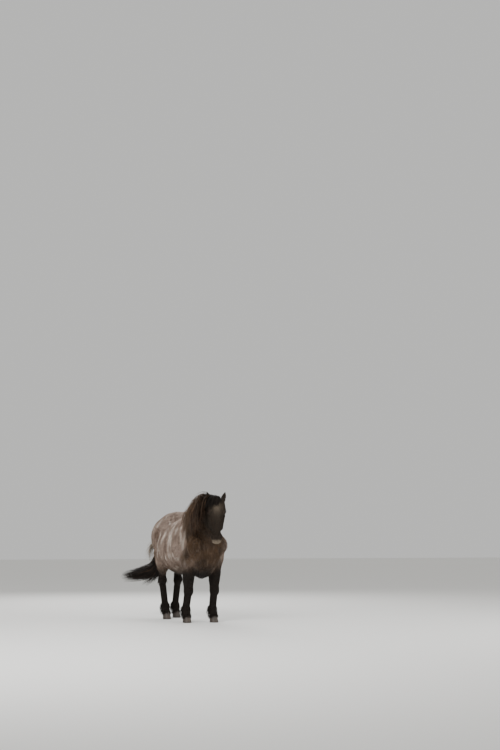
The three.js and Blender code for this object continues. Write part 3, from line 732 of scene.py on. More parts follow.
def ribbons(name, paths, facing, half, thick, root_map, values):
    """paths and facing are (tufts, rings, 3), half and thick (tufts, rings), in millimetres."""
    count, rings = paths.shape[:2]
    along = np.empty_like(paths)
    along[:, 1:-1] = paths[:, 2:] - paths[:, :-2]
    along[:, 0] = paths[:, 1] - paths[:, 0]
    along[:, -1] = paths[:, -1] - paths[:, -2]
    along = unit(along)
    across = unit(np.cross(along, facing))
    aside, raised = across * half[..., None], np.cross(across, along) * thick[..., None]
    body_rings = np.stack([paths + aside, paths - aside, paths + raised], axis=2)[:, :-1]
    size = 3 * (rings - 1) + 1
    points = np.empty((count, size, 3))
    points[:, :-1] = body_rings.reshape(count, -1, 3)
    points[:, -1] = paths[:, -1]
    pattern = [(0, 2, 1)]
    for n in range(rings - 2):
        for a in range(3):
            b = (a + 1) % 3
            p, q = 3 * n + a, 3 * n + b
            pattern += [(p, q, q + 3), (p, q + 3, p + 3)]
    last = 3 * (rings - 2)
    pattern += [(last + a, last + (a + 1) % 3, size - 1) for a in range(3)]
    triangles = (np.arange(count)[:, None, None] * size + np.array(pattern)).reshape(-1, 3)

    mesh = bpy.data.meshes.new(name)
    mesh.vertices.add(count * size)
    mesh.loops.add(triangles.size)
    mesh.polygons.add(len(triangles))
    write_rows(mesh.loops, "vertex_index", triangles, np.int32)
    write_rows(mesh.polygons, "loop_start", np.arange(0, triangles.size, 3), np.int32)
    write_rows(mesh.polygons, "use_smooth", np.ones(len(triangles)), bool)
    set_corners(mesh, to_scene(points.reshape(-1, 3)))

    ring_of = np.append(np.repeat(np.arange(rings - 1), 3), rings - 1)
    side_of = np.append(np.tile([-1.0, 1.0, 0.0], rings - 1), 0.0)
    patch = np.column_stack([side_of * PATCH, (ring_of / (rings - 1) * 2 - 1) * PATCH])
    place = (root_map[:, None] + patch).reshape(-1, 2)
    write_rows(mesh.uv_layers.new(name=BAKE_MAP).data, "uv", place[triangles.ravel()])
    spread = {key: np.repeat(value, size) for key, value in values.items()}
    spread["along"] = np.tile(ring_of / (rings - 1), count)
    give_values(mesh, spread)
    made = bpy.data.objects.new(name, mesh)
    bpy.context.collection.objects.link(made)
    return made


def pieces_of(name, paths, facing, half, thick, root_map, values):
    triangles = 6 * (paths.shape[1] - 2) + 4
    share = TRIANGLES_A_PIECE // triangles
    made = []
    for n, start in enumerate(range(0, len(paths), share)):
        cut = slice(start, start + share)
        cut_values = {key: value[cut] for key, value in values.items()}
        label = f"{name}_{n + 1}" if len(paths) > share else name
        arrays = [each[cut] for each in (paths, facing, half, thick, root_map)]
        made.append(ribbons(label, *arrays, cut_values))
    print(name, len(paths), "tufts,", len(paths) * triangles, "triangles in", len(made))
    return made


# %% [markdown]
# ## Where the tufts grow
# Roots are spread evenly over the skin by area. The hair lies back and down over the body, down the
# legs, and from the poll to the lips on the face, and tips of neighbours lean together in clumps.

# %% Roots on the skin
skin.data.calc_loop_triangles()
skin_triangles = skin.data.loop_triangles
skin_uv = read_rows(skin.data.uv_layers[BAKE_MAP].data, "uv", 2)
skin_uv = skin_uv[read_rows(skin_triangles, "loops", 3, np.int32)]
triangle_corners = skin_mm[read_rows(skin_triangles, "vertices", 3, np.int32)]
triangle_middle = triangle_corners.mean(axis=1)
first_edge, second_edge = (triangle_corners[:, n] - triangle_corners[:, 0] for n in (1, 2))
triangle_normal = np.cross(first_edge, second_edge)
triangle_area = np.linalg.norm(triangle_normal, axis=1) / 2
triangle_normal /= np.maximum(2 * triangle_area, 1e-9)[:, None]
skin_tree = kdtree.KDTree(len(triangle_middle))
for n, middle in enumerate(triangle_middle):
    skin_tree.insert(middle, n)
skin_tree.balance()


def roots_on_skin(count, share):
    """share is how densely hair grows on each triangle of the skin, from 0 to 1."""
    total = np.cumsum(triangle_area * share)
    pick = (np.arange(count) + random.random(count)) / count * total[-1]
    which = np.minimum(np.searchsorted(total, pick), len(total) - 1)
    a, b = random.random((2, count))
    over = a + b > 1
    a[over], b[over] = 1 - a[over], 1 - b[over]
    weights = np.stack([1 - a - b, a, b], axis=1)
    roots = (triangle_corners[which] * weights[..., None]).sum(axis=1)
    maps = (skin_uv[which] * weights[..., None]).sum(axis=1)
    return roots, maps, triangle_normal[which]


def map_near(points):
    found = [skin_tree.find(Vector(p))[1] for p in points]
    return skin_uv[found].mean(axis=1)


def lie_of(roots, normals, loose):
    """The way the hair lies at each root, along the skin."""
    flow = np.tile([0.0, 0.5, -1.0], (len(roots), 1))
    on_head = in_face(roots)[:, None]
    flow = flow * (1 - on_head) + ([0, 0.28, -1] @ HEAD_TURN.T) * on_head
    low = (1 - ramp(420, 700, roots[:, 2]))[:, None]
    flow = flow * (1 - low) + np.array([0, 0.12, -1.0]) * low
    flow += loose * random.normal(size=flow.shape)
    flow[:, 0] += 0.22 * wander(roots, 90, 3.0)
    flow[:, 1] += 0.3 * wander(roots, 90, 8.0)
    upward = in_ear(roots)[:, None]
    flow = flow * (1 - upward) + ([0, 0.1, 1] @ HEAD_TURN.T) * upward
    flow -= normals * (flow * normals).sum(axis=1)[:, None]
    return unit(flow)


def clumped(roots, tips, one_in, pull):
    """Pulls each tip towards the tip of the nearest leading tuft, one in so many."""
    centres = np.arange(0, len(roots), one_in)
    tree = kdtree.KDTree(len(centres))
    for n in centres:
        tree.insert(roots[n], int(n))
    tree.balance()
    found = np.array([tree.find(Vector(root))[1] for root in roots])
    target = tips[found] + 0.3 * (roots - roots[found])
    far = np.linalg.norm(roots - roots[found], axis=1)
    share = pull * (1 - ramp(0.6, 1.6, far / (np.linalg.norm(tips - roots, axis=1) + 1)))
    return tips + share[:, None] * (target - tips), found


def coat(name, count, share, length, half, rise, loose=0.1, one_in=9, pull=0.32):
    """Tufts over a share of the skin. length, half width and rise of the tips depend on the place."""
    roots, maps, normals = roots_on_skin(count, share)
    lengths = length(roots) * random.uniform(0.75, 1.25, count)
    rises = rise(roots)
    lie = lie_of(roots, normals, loose)
    lift = rises * random.uniform(0.75, 1.25, count)
    tips = roots + lie * lengths[:, None] + normals * lift[:, None]
    tips, clump = clumped(roots, tips, one_in, pull)
    middle = roots + 0.5 * (tips - roots) + normals * (0.42 * rises)[:, None]
    paths = np.stack([roots - normals * 1.5, middle, tips], axis=1)
    facing = np.repeat(normals[:, None], 3, axis=1)
    widths = half(roots) * random.uniform(0.7, 1.3, count)
    halves = widths[:, None] * np.array([0.7, 1.0, 0.0])
    values = markings(roots)
    clump_tone = random.normal(size=count)[clump]
    values["tone"] = np.clip(0.6 * clump_tone + 0.5 * random.normal(size=count), -2, 2) / 2
    return pieces_of(name, paths, facing, halves, 0.5 * halves, maps, values)


# %% Coat of the body
BODY_TUFTS = 60000
BODY_TUFT_HALF = 2.8  # half the width of a tuft
LEG_TUFTS = 23000
LEG_TUFT_HALF = 2.0
FACE_TUFTS = 40000
face_of_triangle = in_face(triangle_middle)
height_of_triangle = triangle_middle[:, 2]
leg_share = 1 - ramp(430, 620, height_of_triangle)
hoof_share = ramp(70, 84, height_of_triangle)
body_share = (1 - face_of_triangle) * (1 - leg_share)


def body_length(p):
    under = 1 - ramp(640, 820, p[:, 2])
    return (56 + 26 * under) * (1 + 0.2 * wander(p, 40))


coat_body = coat(
    "coat_body",
    BODY_TUFTS,
    body_share,
    body_length,
    lambda p: np.full(len(p), BODY_TUFT_HALF),
    lambda p: 0.7 * coat_depth(p) + 2,
)

# %% Coat of the legs and of the face
coat_legs = coat(
    "coat_legs",
    LEG_TUFTS,
    leg_share * hoof_share * (1 - face_of_triangle),
    lambda p: 26 + 18 * ramp(430, 600, p[:, 2]) + 14 * (1 - ramp(90, 150, p[:, 2])),
    lambda p: np.full(len(p), LEG_TUFT_HALF),
    lambda p: coat_depth(p) + 6,
)


def face_length(p):
    q = into_half_head(p)
    jaw = ramp(110, 190, q[:, 1])
    muzzle = 1 - ramp(-480, -400, q[:, 2])
    near_eye = 1 - ramp(26, 70, away(q, EYE))
    return 19 + 22 * jaw - 11 * muzzle - 10 * near_eye - 6 * in_ear(p)


def near_features(p):
    q = into_half_head(p)
    clear_eye = ramp(21, 30, away(q, EYE))
    clear_nostril = ramp(16, 30, away(q, nostril_at))
    clear_mouth = ramp(2, 8, melt_all(mouth, q))
    return clear_eye * clear_nostril * clear_mouth


coat_face = coat(
    "coat_face",
    FACE_TUFTS,
    face_of_triangle * near_features(triangle_middle),
    face_length,
    lambda p: 0.55 + 0.035 * face_length(p),
    lambda p: 0.7 * coat_depth(p) + 0.3,
    loose=0.07,
    one_in=8,
    pull=0.2,
)

# %% [markdown]
# ## Long hair
# Mane, forelock and feathers start under the coat and then fall by their own weight, sliding over the
# body beneath them. A path is stepped forward, its heading is pulled down at each step, and it is lifted
# back out wherever it would sink into the body.


# %% Locks that fall over the body
def draped(field, roots, heading, pull, lengths, clear, steps, sunk=14, flare=0):
    """Paths that keep clear of the body by clear, and by flare more at their ends."""
    at = drawn_onto(field, roots, -sunk)
    way = unit(heading)
    step = (lengths / steps)[:, None]
    paths, facing = [], []
    for n in range(steps + 1):
        slope = unit(slope_of(field, at))
        if n > 0:
            at = at + slope * np.maximum(clear + flare * n / steps - field(at), 0)[:, None]
        paths.append(at.copy())
        facing.append(slope)
        at = at + way * step
        way = unit(way + pull)
    return np.stack(paths, axis=1), np.stack(facing, axis=1)


def rows(x, y, z):
    """Three columns side by side, where a single number fills its column."""
    return np.column_stack(np.broadcast_arrays(x, y, z))


def locks(name, paths, facing, widths, black=1, brown=0, pale=0, tone_size=0.5, tone_shift=0):
    """Widens each path into a lock that tapers to both ends, with a tone of its own."""
    count, rings = paths.shape[:2]
    halves = widths[:, None] * np.sin(math.pi * (0.2 + 0.8 * np.linspace(0, 1, rings)))
    levels = {"black": black, "brown": brown, "pale": pale}
    values = {key: np.broadcast_to(level, count) for key, level in levels.items()}
    values["tone"] = np.clip(random.normal(size=count), -2, 2) * tone_size + tone_shift
    return pieces_of(name, paths, facing, halves, 0.35 * halves, map_near(paths[:, 0]), values)


def waves(roots, rings, size):
    """The sway of each lock, shared in part by its neighbours, and none at the root."""
    count = len(roots)
    s = np.linspace(0, 1, rings)
    shared = 2.5 * wander(roots, 24)[:, None]
    swing = []
    for turns in (1.0, 1.35):
        phase = shared + random.uniform(0, 2.2, (count, 1))
        speed = random.uniform(3.5, 8, (count, 1)) * turns
        swing.append(np.sin(phase + speed * s) - np.sin(phase))
    strength = size * random.uniform(0.3, 1, (count, 1)) * np.minimum(1, 2.5 * s)
    return np.stack([0.6 * swing[0] * strength, swing[1] * strength, 0 * strength], axis=2)


def curved_line(points, t):
    """A smooth line through points, read at the shares t of its length."""
    points = np.array(points, float)
    place = t * (len(points) - 1)
    n = np.clip(place.astype(int), 0, len(points) - 2)
    s = (place - n)[:, None]
    before, after = np.maximum(n - 1, 0), np.minimum(n + 2, len(points) - 1)
    p0, p1, p2, p3 = points[before], points[n], points[n + 1], points[after]
    square = 2 * p0 - 5 * p1 + 4 * p2 - p3
    cube = 3 * p1 - p0 - 3 * p2 + p3
    return 0.5 * (2 * p1 + (p2 - p0) * s + square * s**2 + cube * s**3)


# %% Mane
MANE_LOCKS = 2200
STEPS = 10
crest = [
    [0, -392, 1424],
    [-3, -480, 1465],
    [-22, -640, 1520],
    [-36, -760, 1543],
    [-40, -838, 1552],
]
t = random.random(MANE_LOCKS)  # from the withers to the poll
row = random.random(MANE_LOCKS)  # from the crest down to the neck's right side
roots = curved_line(crest, t)
roots[:, 0] -= 38 * row - 4
lengths = (390 + 210 * np.minimum(1, t * 1.7)) * random.uniform(0.45, 1.08, MANE_LOCKS)
lengths *= 1 - 0.3 * ramp(0.85, 1, t)
heading = rows(
    random.uniform(-0.75, -0.35, MANE_LOCKS),
    random.uniform(-0.1, 0.45, MANE_LOCKS),
    (1 - 0.8 * row) * random.uniform(0.3, 0.9, MANE_LOCKS) * (1 - 0.45 * ramp(0.6, 1, t)),
)
to_withers = (1 - ramp(0.2, 0.6, t)) * (1 - row)
pull = rows(
    -0.07 * (1 - t) - 0.09 * to_withers,
    0.04 + 0.07 * wander(roots, 30) - 0.08 * t + random.normal(0, 0.03, MANE_LOCKS),
    random.uniform(-0.72, -0.5, MANE_LOCKS),
)
clear = 6 + 22 * (1 - row) * random.random(MANE_LOCKS)
flare = 85 * to_withers * random.random(MANE_LOCKS)
paths, facing = draped(body, roots, heading, pull, lengths, clear, STEPS, flare=flare)
paths += waves(roots, STEPS + 1, 15)
widths = random.uniform(2.4, 6.6, MANE_LOCKS)
rust = np.clip(1.25 - 1.3 * t + 0.55 * (1 - row) + 0.3 * random.normal(size=MANE_LOCKS), 0, 1)
mane = locks("mane", paths, facing, widths, black=1 - 0.7 * rust, brown=rust)

# %% Forelock
def body_from_head(q):
    return body(out_of_head(q))


FORELOCK_LOCKS = 380
t = random.random(FORELOCK_LOCKS)  # from the right ear to the left
roots = rows(-44 + 78 * t, random.uniform(0, 70, FORELOCK_LOCKS), 20)
heading = rows(
    -0.45 + 0.6 * t + random.normal(0, 0.15, FORELOCK_LOCKS),
    -0.95,
    0.15 + 0.3 * random.random(FORELOCK_LOCKS),
)
pull = rows(
    -0.22 + 0.17 * t + random.normal(0, 0.05, FORELOCK_LOCKS),
    random.normal(0, 0.03, FORELOCK_LOCKS),
    -0.65,
)
lengths = random.uniform(120, 275, FORELOCK_LOCKS) * (1 - 0.35 * t)
clear = 4 + 12 * random.random(FORELOCK_LOCKS)
paths, facing = draped(body_from_head, roots, heading, pull, lengths, clear, STEPS)
paths += waves(roots, STEPS + 1, 7) * [1.6, 0.3, 1]
paths = out_of_head(paths)
facing = facing @ HEAD_TURN.T
forelock = locks("forelock", paths, facing, random.uniform(1.8, 4.2, FORELOCK_LOCKS))

# %% Tail
TAIL_LOCKS = 1100
TAIL_STEPS = 12
tail_points = [
    [0, 690, 1195],
    [0, 764, 1120],
    [-8, 818, 1000],
    [-50, 862, 800],
    [-125, 892, 655],
    [-300, 975, 585],
    [-525, 1090, 552],
]
start = random.uniform(0.08, 0.55, TAIL_LOCKS)
end = random.uniform(0.62, 0.99, TAIL_LOCKS)
turn = random.uniform(0, 2 * math.pi, TAIL_LOCKS)
fullness = np.sqrt(random.random(TAIL_LOCKS))
paths, facing = [], []
for k in range(TAIL_STEPS + 1):
    s = k / TAIL_STEPS
    t = start + (end - start) * s
    at = curved_line(tail_points, t)
    further = curved_line(tail_points, np.minimum(t + 0.01, 1))
    tangent = unit(further - curved_line(tail_points, t - 0.01))
    aside = unit(rows(-tangent[:, 1], tangent[:, 0], 0))
    above = np.cross(aside, tangent)
    out = aside * np.cos(turn)[:, None] + above * np.sin(turn)[:, None]
    spread = fullness * (16 + 74 * math.sin(math.pi * s / 1.35))
    at = at + out * spread[:, None]
    at[:, 2] -= np.where(end < 0.82, 130, 25) * fullness * s**2
    at = at + unit(slope_of(body, at)) * np.maximum(20 - body(at), 0)[:, None]
    paths.append(at)
    facing.append(out)
paths, facing = np.stack(paths, axis=1), np.stack(facing, axis=1)
widths = random.uniform(3.5, 8, TAIL_LOCKS)
paths += waves(paths[:, 0], TAIL_STEPS + 1, 14) * [0.5, 0.5, 1]
paths[..., 2] += waves(paths[:, 0], TAIL_STEPS + 1, 12)[..., 1]
black = 1 - 0.22 * (random.random(TAIL_LOCKS) < 0.2)
tail_hair = locks("tail_hair", paths, facing, widths, black=black, brown=1)

# %% Pale hair beside the dock
PALE_LOCKS = 190
PALE_STEPS = 8
pale_points = [
    [-40, 765, 1060],
    [-122, 795, 1010],
    [-190, 812, 905],
    [-192, 832, 800],
    [-150, 858, 700],
]
end = random.uniform(0.3, 1, PALE_LOCKS)
offset = random.normal(0, 1, (PALE_LOCKS, 3)) * 17
paths = []
for k in range(PALE_STEPS + 1):
    paths.append(curved_line(pale_points, end * k / PALE_STEPS) + offset * (0.3 + k / 5))
paths = np.stack(paths, axis=1)
paths += waves(paths[:, 0], PALE_STEPS + 1, 14)
facing = np.broadcast_to(np.array([-0.8, 0.5, 0.2]), paths.shape)
widths = random.uniform(2.4, 5, PALE_LOCKS)
pale_hair = locks(
    "tail_pale_hair", paths, facing, widths, black=0, pale=1, tone_size=0.8, tone_shift=0.9
)

# %% Feathers behind the fetlocks
CORONET_LOCKS = 120
FEATHERS_A_LEG = 230
FEATHER_STEPS = 5
roots, heading = [], []
for name, side, top, knee, fetlock, coronet in LEGS:
    turn = random.uniform(-math.pi, math.pi, CORONET_LOCKS)
    rim = 47 * np.cos(turn) * (coronet[1] - fetlock[1]) / PASTERN_FALL
    height = rim + random.uniform(8, 26, CORONET_LOCKS)
    roots.append(coronet + rows(44 * np.sin(turn), 44 * np.cos(turn), height))
    heading.append(rows(0.55 * np.sin(turn), 0.55 * np.cos(turn), -0.8))
    turn = np.radians(random.uniform(-95, 95, FEATHERS_A_LEG))
    height = random.uniform(-52, 40, FEATHERS_A_LEG)
    roots.append(fetlock + rows(38 * np.sin(turn), 48 * np.cos(turn), height))
    heading.append(rows(0.5 * np.sin(turn), 0.6 * np.cos(turn), -0.8))
roots, heading = np.concatenate(roots), np.concatenate(heading)
feather_count = len(roots)
pull = np.tile([0, 0, -0.5], (feather_count, 1))
lengths = random.uniform(44, 96, feather_count)
lengths[np.arange(feather_count) % (CORONET_LOCKS + FEATHERS_A_LEG) < CORONET_LOCKS] *= 0.55
clear = random.uniform(4, 15, feather_count)
paths, facing = draped(body, roots, heading, pull, lengths, clear, FEATHER_STEPS, sunk=9)
paths += waves(roots, FEATHER_STEPS + 1, 5)
feathers = locks("feathers", paths, facing, random.uniform(1.6, 3.4, feather_count))

# %% Lashes and whiskers
LASHES = 26
WHISKERS = 46
FINE_RINGS = 6
roots, heading = [], []
for side in (1, -1):
    for n in range(LASHES):
        turn = math.pi * (0.12 + 0.76 * n / (LASHES - 1))
        root = on_eye(turn, EYE_RADIUS + 4, SLIT_HALF, SLIT_RISE)
        way = np.array([0.9, 0, -0.25]) + 0.5 * math.cos(turn) * SLIT_ALONG + 0.35 * SLIT_ACROSS
        roots.append(root * [side, 1, 1])
        heading.append(way * [side, 1, 1])
lash_count = len(roots)
whisker_roots = []
for n in range(WHISKERS):
    side = 1 if n % 2 else -1
    x, y, z = side * random.uniform(8, 48), random.uniform(60, 112), random.uniform(-560, -480)
    whisker_roots.append([x, y, z])
    heading.append([side * 0.6, random.uniform(-0.3, 0.6), -0.7])
whisker_roots = drawn_onto(lambda q: face(mirrored(q)), whisker_roots, 0)
roots = np.concatenate([roots, whisker_roots])
heading = unit(np.array(heading))
lengths = np.concatenate([np.full(lash_count, 20.0), random.uniform(22, 48, WHISKERS)])
lengths *= random.uniform(0.8, 1.1, len(roots))
reach = lengths[:, None, None] * np.linspace(-0.1, 1, FINE_RINGS)[:, None]
paths = roots[:, None] + heading[:, None] * reach
paths[..., 2] -= lengths[:, None] * 0.22 * np.linspace(0, 1, FINE_RINGS) ** 2
paths = out_of_head(paths)
facing = np.broadcast_to(np.array([0.0, -0.2, 1.0]), paths.shape)
fine = np.where(np.arange(len(roots)) < lash_count, 0.7, 0.45)
halves = fine[:, None] * np.linspace(1, 0.2, FINE_RINGS)
levels = {"black": 1, "brown": 0, "pale": 0, "tone": 0}
values = {key: np.full(len(roots), level) for key, level in levels.items()}
lashes = pieces_of("lashes_whiskers", paths, facing, halves, halves, map_near(paths[:, 0]), values)

# %% [markdown]
# ## Eyes and hooves
# The eye is a glossy ball, dark brown with a lying oval pupil. A hoof is a flared cone of horn with
# growth rings, cut level at the ground.

# %% Eyeballs
PUPIL_HALF = 8.5
PUPIL_RISE = 4.5
eyeballs = []
for side, word in ((1, "left"), (-1, "right")):
    middle = to_scene(out_of_head((EYE * [side, 1, 1])[None]))[0]
    bpy.ops.mesh.primitive_uv_sphere_add(
        segments=64, ring_count=40, radius=(EYE_RADIUS - 0.6) * MM, location=middle
    )
    eyeball = bpy.context.object
    eyeball.name = "eyeball_" + word
    bpy.ops.object.transform_apply()
    q = into_head(from_scene(corners_of(eyeball.data))) - EYE * [side, 1, 1]
    gaze = np.array([side * 0.93, -0.36, 0.0])
    bulge = ramp(0.8, 1.0, q @ gaze / EYE_RADIUS)
    q = q * (1 + 0.035 * bulge)[:, None]
    set_corners(eyeball.data, to_scene(out_of_head(q + EYE * [side, 1, 1])))
    across = direction(np.cross(gaze, SLIT_ALONG))
    a, b = q @ np.cross(across, gaze), q @ across
    iris = np.where(q @ gaze > 0, np.hypot(a, b) / EYE_RADIUS, 1.5)
    pupil = np.where(q @ gaze > 0, np.hypot(a / PUPIL_HALF, b / PUPIL_RISE), 3)
    give_values(eyeball.data, {"iris": iris, "pupil": pupil})
    bpy.ops.object.shade_smooth()
    eyeballs.append(eyeball)
print("eyeballs", [eyeball.name for eyeball in eyeballs])

# %% Hooves
HOOF_RINGS = 24
hooves = []
for name, side, top, knee, fetlock, coronet in LEGS:
    slope = (coronet[1] - fetlock[1]) / PASTERN_FALL
    foot = to_scene(np.array([coronet[0], coronet[1], 0]))
    bpy.ops.mesh.primitive_cylinder_add(
        vertices=56, radius=HOOF_WIDTH / 2 * MM, depth=1, location=foot + [0, 0, 0.5]
    )
    hoof = bpy.context.object
    hoof.name = name + "_hoof_horn"
    bpy.ops.object.transform_apply()
    bpy.ops.object.mode_set(mode="EDIT")
    for n in range(1, HOOF_RINGS):
        bpy.ops.mesh.select_all(action="SELECT")
        bpy.ops.mesh.bisect(plane_co=(0, 0, n / HOOF_RINGS), plane_no=(0, 0, 1))
    bpy.ops.object.mode_set(mode="OBJECT")
    co = corners_of(hoof.data)
    level = co[:, 2].copy()  # from the ground, 0, to the coronet, 1
    around = np.arctan2(co[:, 0] - foot[0], co[:, 1] - foot[1])
    wide = np.interp(level, [0, 0.05, 0.94, 1], [0.975, 1, 0.86, 0.8])
    wide = wide + 0.009 * np.sin(level * 42 + 0.6 * np.cos(around)) * ramp(0.02, 0.15, level)
    half = HOOF_WIDTH / 2 * wide
    along = half * 1.08 * np.cos(around)
    top_level = coronet[2] - 0.3 + along * slope
    x = coronet[0] + half * np.sin(around)
    y = coronet[1] + along + (1 - level) * top_level * slope * 0.8
    set_corners(hoof.data, to_scene(rows(x, y, level * top_level)))
    turn_faces_outward()
    bpy.ops.object.shade_smooth_by_angle(angle=SHARP)
    hooves.append(hoof)
print("hooves", [hoof.name for hoof in hooves])

# %% [markdown]
# ## Finishes
# One node group turns the five values and the place on the body into the coat's colour, and every
# hairy material uses it. Streaks of paler and darker hair run down the barrel; the pale ones fade on
# top of the back.


# %% Colour of the coat
def srgb(red, green, blue):
    linear = []
    for value in (red / 255, green / 255, blue / 255):
        linear.append(((value + 0.055) / 1.055) ** 2.4 if value > 0.04 else value / 12.92)
    return linear + [1]


class Nodes:
    """Adds nodes to a tree, with each socket set to a value or linked to another node."""

    def __init__(self, tree):
        self.tree = tree

    def fill(self, node, inputs):
        for socket, value in inputs.items():
            if isinstance(value, bpy.types.NodeSocket):
                self.tree.links.new(value, node.inputs[socket])
            else:
                node.inputs[socket].default_value = value

    def add(self, kind, inputs, output=0, **settings):
        node = self.tree.nodes.new(kind)
        for key, value in settings.items():
            setattr(node, key, value)
        self.fill(node, inputs)
        return node.outputs[output]

    def noise(self, scale, stretch, detail):
        place = self.add("ShaderNodeTexCoord", {}, "Object")
        stretched = self.add("ShaderNodeMapping", {"Vector": place, "Scale": stretch})
        inputs = {"Vector": stretched, "Scale": scale, "Detail": detail}
        return self.add("ShaderNodeTexNoise", inputs, "Fac")

    def ranged(self, value, low, high, to_low=0.0, to_high=1.0, clamp=True):
        inputs = {"Value": value, "From Min": low, "From Max": high, "To Min": to_low, "To Max": to_high}
        return self.add("ShaderNodeMapRange", inputs, clamp=clamp)

    def maths(self, how, first, second):
        return self.add("ShaderNodeMath", {0: first, 1: second}, operation=how)

    def mixed(self, share, first, second, how="MIX"):
        inputs = {0: share, 6: first, 7: second}  # the factor and the two colours
        return self.add("ShaderNodeMix", inputs, 2, data_type="RGBA", blend_type=how)

    def tinted(self, value, first, second):
        colours = self.tree.nodes.new("ShaderNodeValToRGB")
        for stop, place, colour in zip(colours.color_ramp.elements, (0.3, 0.72), (first, second)):
            stop.position = place
            stop.color = colour
        self.fill(colours, {"Fac": value})
        return colours.outputs["Color"]

    def read(self, name):
        return self.add("ShaderNodeAttribute", {}, "Fac", attribute_name=name)

    def bump(self, height, strength):
        return self.add("ShaderNodeBump", {"Height": height, "Strength": strength, "Distance": 0.001})


ROAN = srgb(160, 141, 129)
ROAN_PALE = srgb(222, 208, 196)
ROAN_DARK = srgb(106, 85, 71)
BROWN = srgb(88, 67, 48)
PALE = srgb(146, 132, 115)


def coat_colours():
    tree = bpy.data.node_groups.new("coat colours", "ShaderNodeTree")
    for names, way, kind in (
        (("Black", "Brown", "Pale", "Along", "Tone"), "INPUT", "NodeSocketFloat"),
        (("Roan", "Dark coat"), "INPUT", "NodeSocketColor"),
        (("Colour",), "OUTPUT", "NodeSocketColor"),
        (("Height",), "OUTPUT", "NodeSocketFloat"),
    ):
        for name in names:
            tree.interface.new_socket(name, in_out=way, socket_type=kind)
    nodes = Nodes(tree)
    given = tree.nodes.new("NodeGroupInput").outputs
    patches = nodes.noise(5, (1, 1, 1), 2)
    pale_streaks = nodes.noise(13, (1, 1, 0.2), 3)
    dark_streaks = nodes.noise(17, (1, 1, 0.24), 3)
    fine_streaks = nodes.noise(42, (1, 1, 0.22), 2)
    roan = nodes.mixed(nodes.ranged(patches, 0.5, 0.7, 0.0, 0.6), given["Roan"], ROAN_DARK)
    roan = nodes.mixed(nodes.ranged(dark_streaks, 0.54, 0.68, 0.0, 0.8), roan, ROAN_DARK)
    place = nodes.add("ShaderNodeTexCoord", {}, "Object")
    height = nodes.add("ShaderNodeSeparateXYZ", {"Vector": place}, "Z")
    on_sides = nodes.ranged(height, 1.24, 1.38, 1.0, 0.3)
    share = nodes.maths("MULTIPLY", nodes.ranged(pale_streaks, 0.53, 0.68), on_sides)
    roan = nodes.mixed(share, roan, ROAN_PALE)
    brown = nodes.mixed(nodes.ranged(fine_streaks, 0.5, 0.75, 0.0, 0.35), BROWN, ROAN)
    colour = nodes.mixed(given["Brown"], roan, brown)
    colour = nodes.mixed(given["Black"], colour, given["Dark coat"])
    colour = nodes.mixed(given["Pale"], colour, PALE)
    # left unclamped, so that the skin's painted shade in the nostrils and the mouth reaches near black
    tone = nodes.ranged(given["Tone"], -1, 1, -0.24, 0.24, clamp=False)
    # painted shade: each tuft is darker towards its root, down in the coat, and a little lighter at its
    # tip
    shade = nodes.maths("ADD", tone, nodes.ranged(given["Along"], 0, 1, 0.88, 1.1))
    grey = nodes.add("ShaderNodeCombineColor", {0: shade, 1: shade, 2: shade}, "Color")
    colour = nodes.mixed(1.0, colour, grey, "MULTIPLY")
    result = tree.nodes.new("NodeGroupOutput")
    nodes.fill(result, {"Colour": colour, "Height": nodes.noise(520, (1, 1, 0.16), 2)})
    return tree


coat_group = coat_colours()


def new_material(name, inputs):
    made = bpy.data.materials.new(name)
    made.use_nodes = True
    nodes = Nodes(made.node_tree)
    shader = made.node_tree.nodes["Principled BSDF"]
    nodes.fill(shader, inputs)
    return made, nodes, shader


def hairy(name, roan, dark, roughness, sheen, bump):
    shine = {"Roughness": roughness, "Specular IOR Level": 0.16, "Sheen Weight": sheen}
    made, nodes, shader = new_material(name, shine)
    inputs = {"Roan": roan, "Dark coat": dark}
    for value in ("black", "brown", "pale", "along", "tone"):
        inputs[value.capitalize()] = nodes.read(value)
    colour = nodes.add("ShaderNodeGroup", inputs, "Colour", node_tree=coat_group)
    raised = nodes.bump(colour.node.outputs["Height"], bump)
    nodes.fill(shader, {"Base Color": colour, "Normal": raised})
    return made


body_hair = hairy("winter coat", ROAN, srgb(26, 18, 12), 0.82, 0.04, 0.5)
face_hair = hairy("face coat", ROAN, srgb(40, 32, 24), 0.74, 0.03, 0.5)
long_hair = hairy("long hair", srgb(120, 86, 60), srgb(22, 15, 10), 0.62, 0.0, 0.3)
bare_skin = hairy("skin", ROAN, srgb(34, 26, 19), 0.7, 0.02, 0.8)
print("coat colours", [round(value, 3) for value in ROAN])

# %% Horn and eye
horn, nodes, shader = new_material("horn", {"Roughness": 0.55})
growth = nodes.noise(1.0, (14, 14, 110), 4)
colour = nodes.tinted(growth, srgb(32, 27, 23), srgb(70, 58, 48))
nodes.fill(shader, {"Base Color": colour, "Normal": nodes.bump(growth, 0.4)})

wet = {"Roughness": 0.14, "IOR": 1.34, "Specular IOR Level": 0.3}
wet_eye, nodes, shader = new_material("eye", wet | {"Coat Weight": 0.12, "Coat Roughness": 0.04})
iris = nodes.tinted(nodes.read("iris"), srgb(40, 22, 12), srgb(16, 10, 7))
edge = nodes.ranged(nodes.read("pupil"), 0.9, 1.15)
nodes.fill(shader, {"Base Color": nodes.mixed(edge, srgb(6, 5, 5), iris)})
print("materials", [material.name for material in bpy.data.materials])
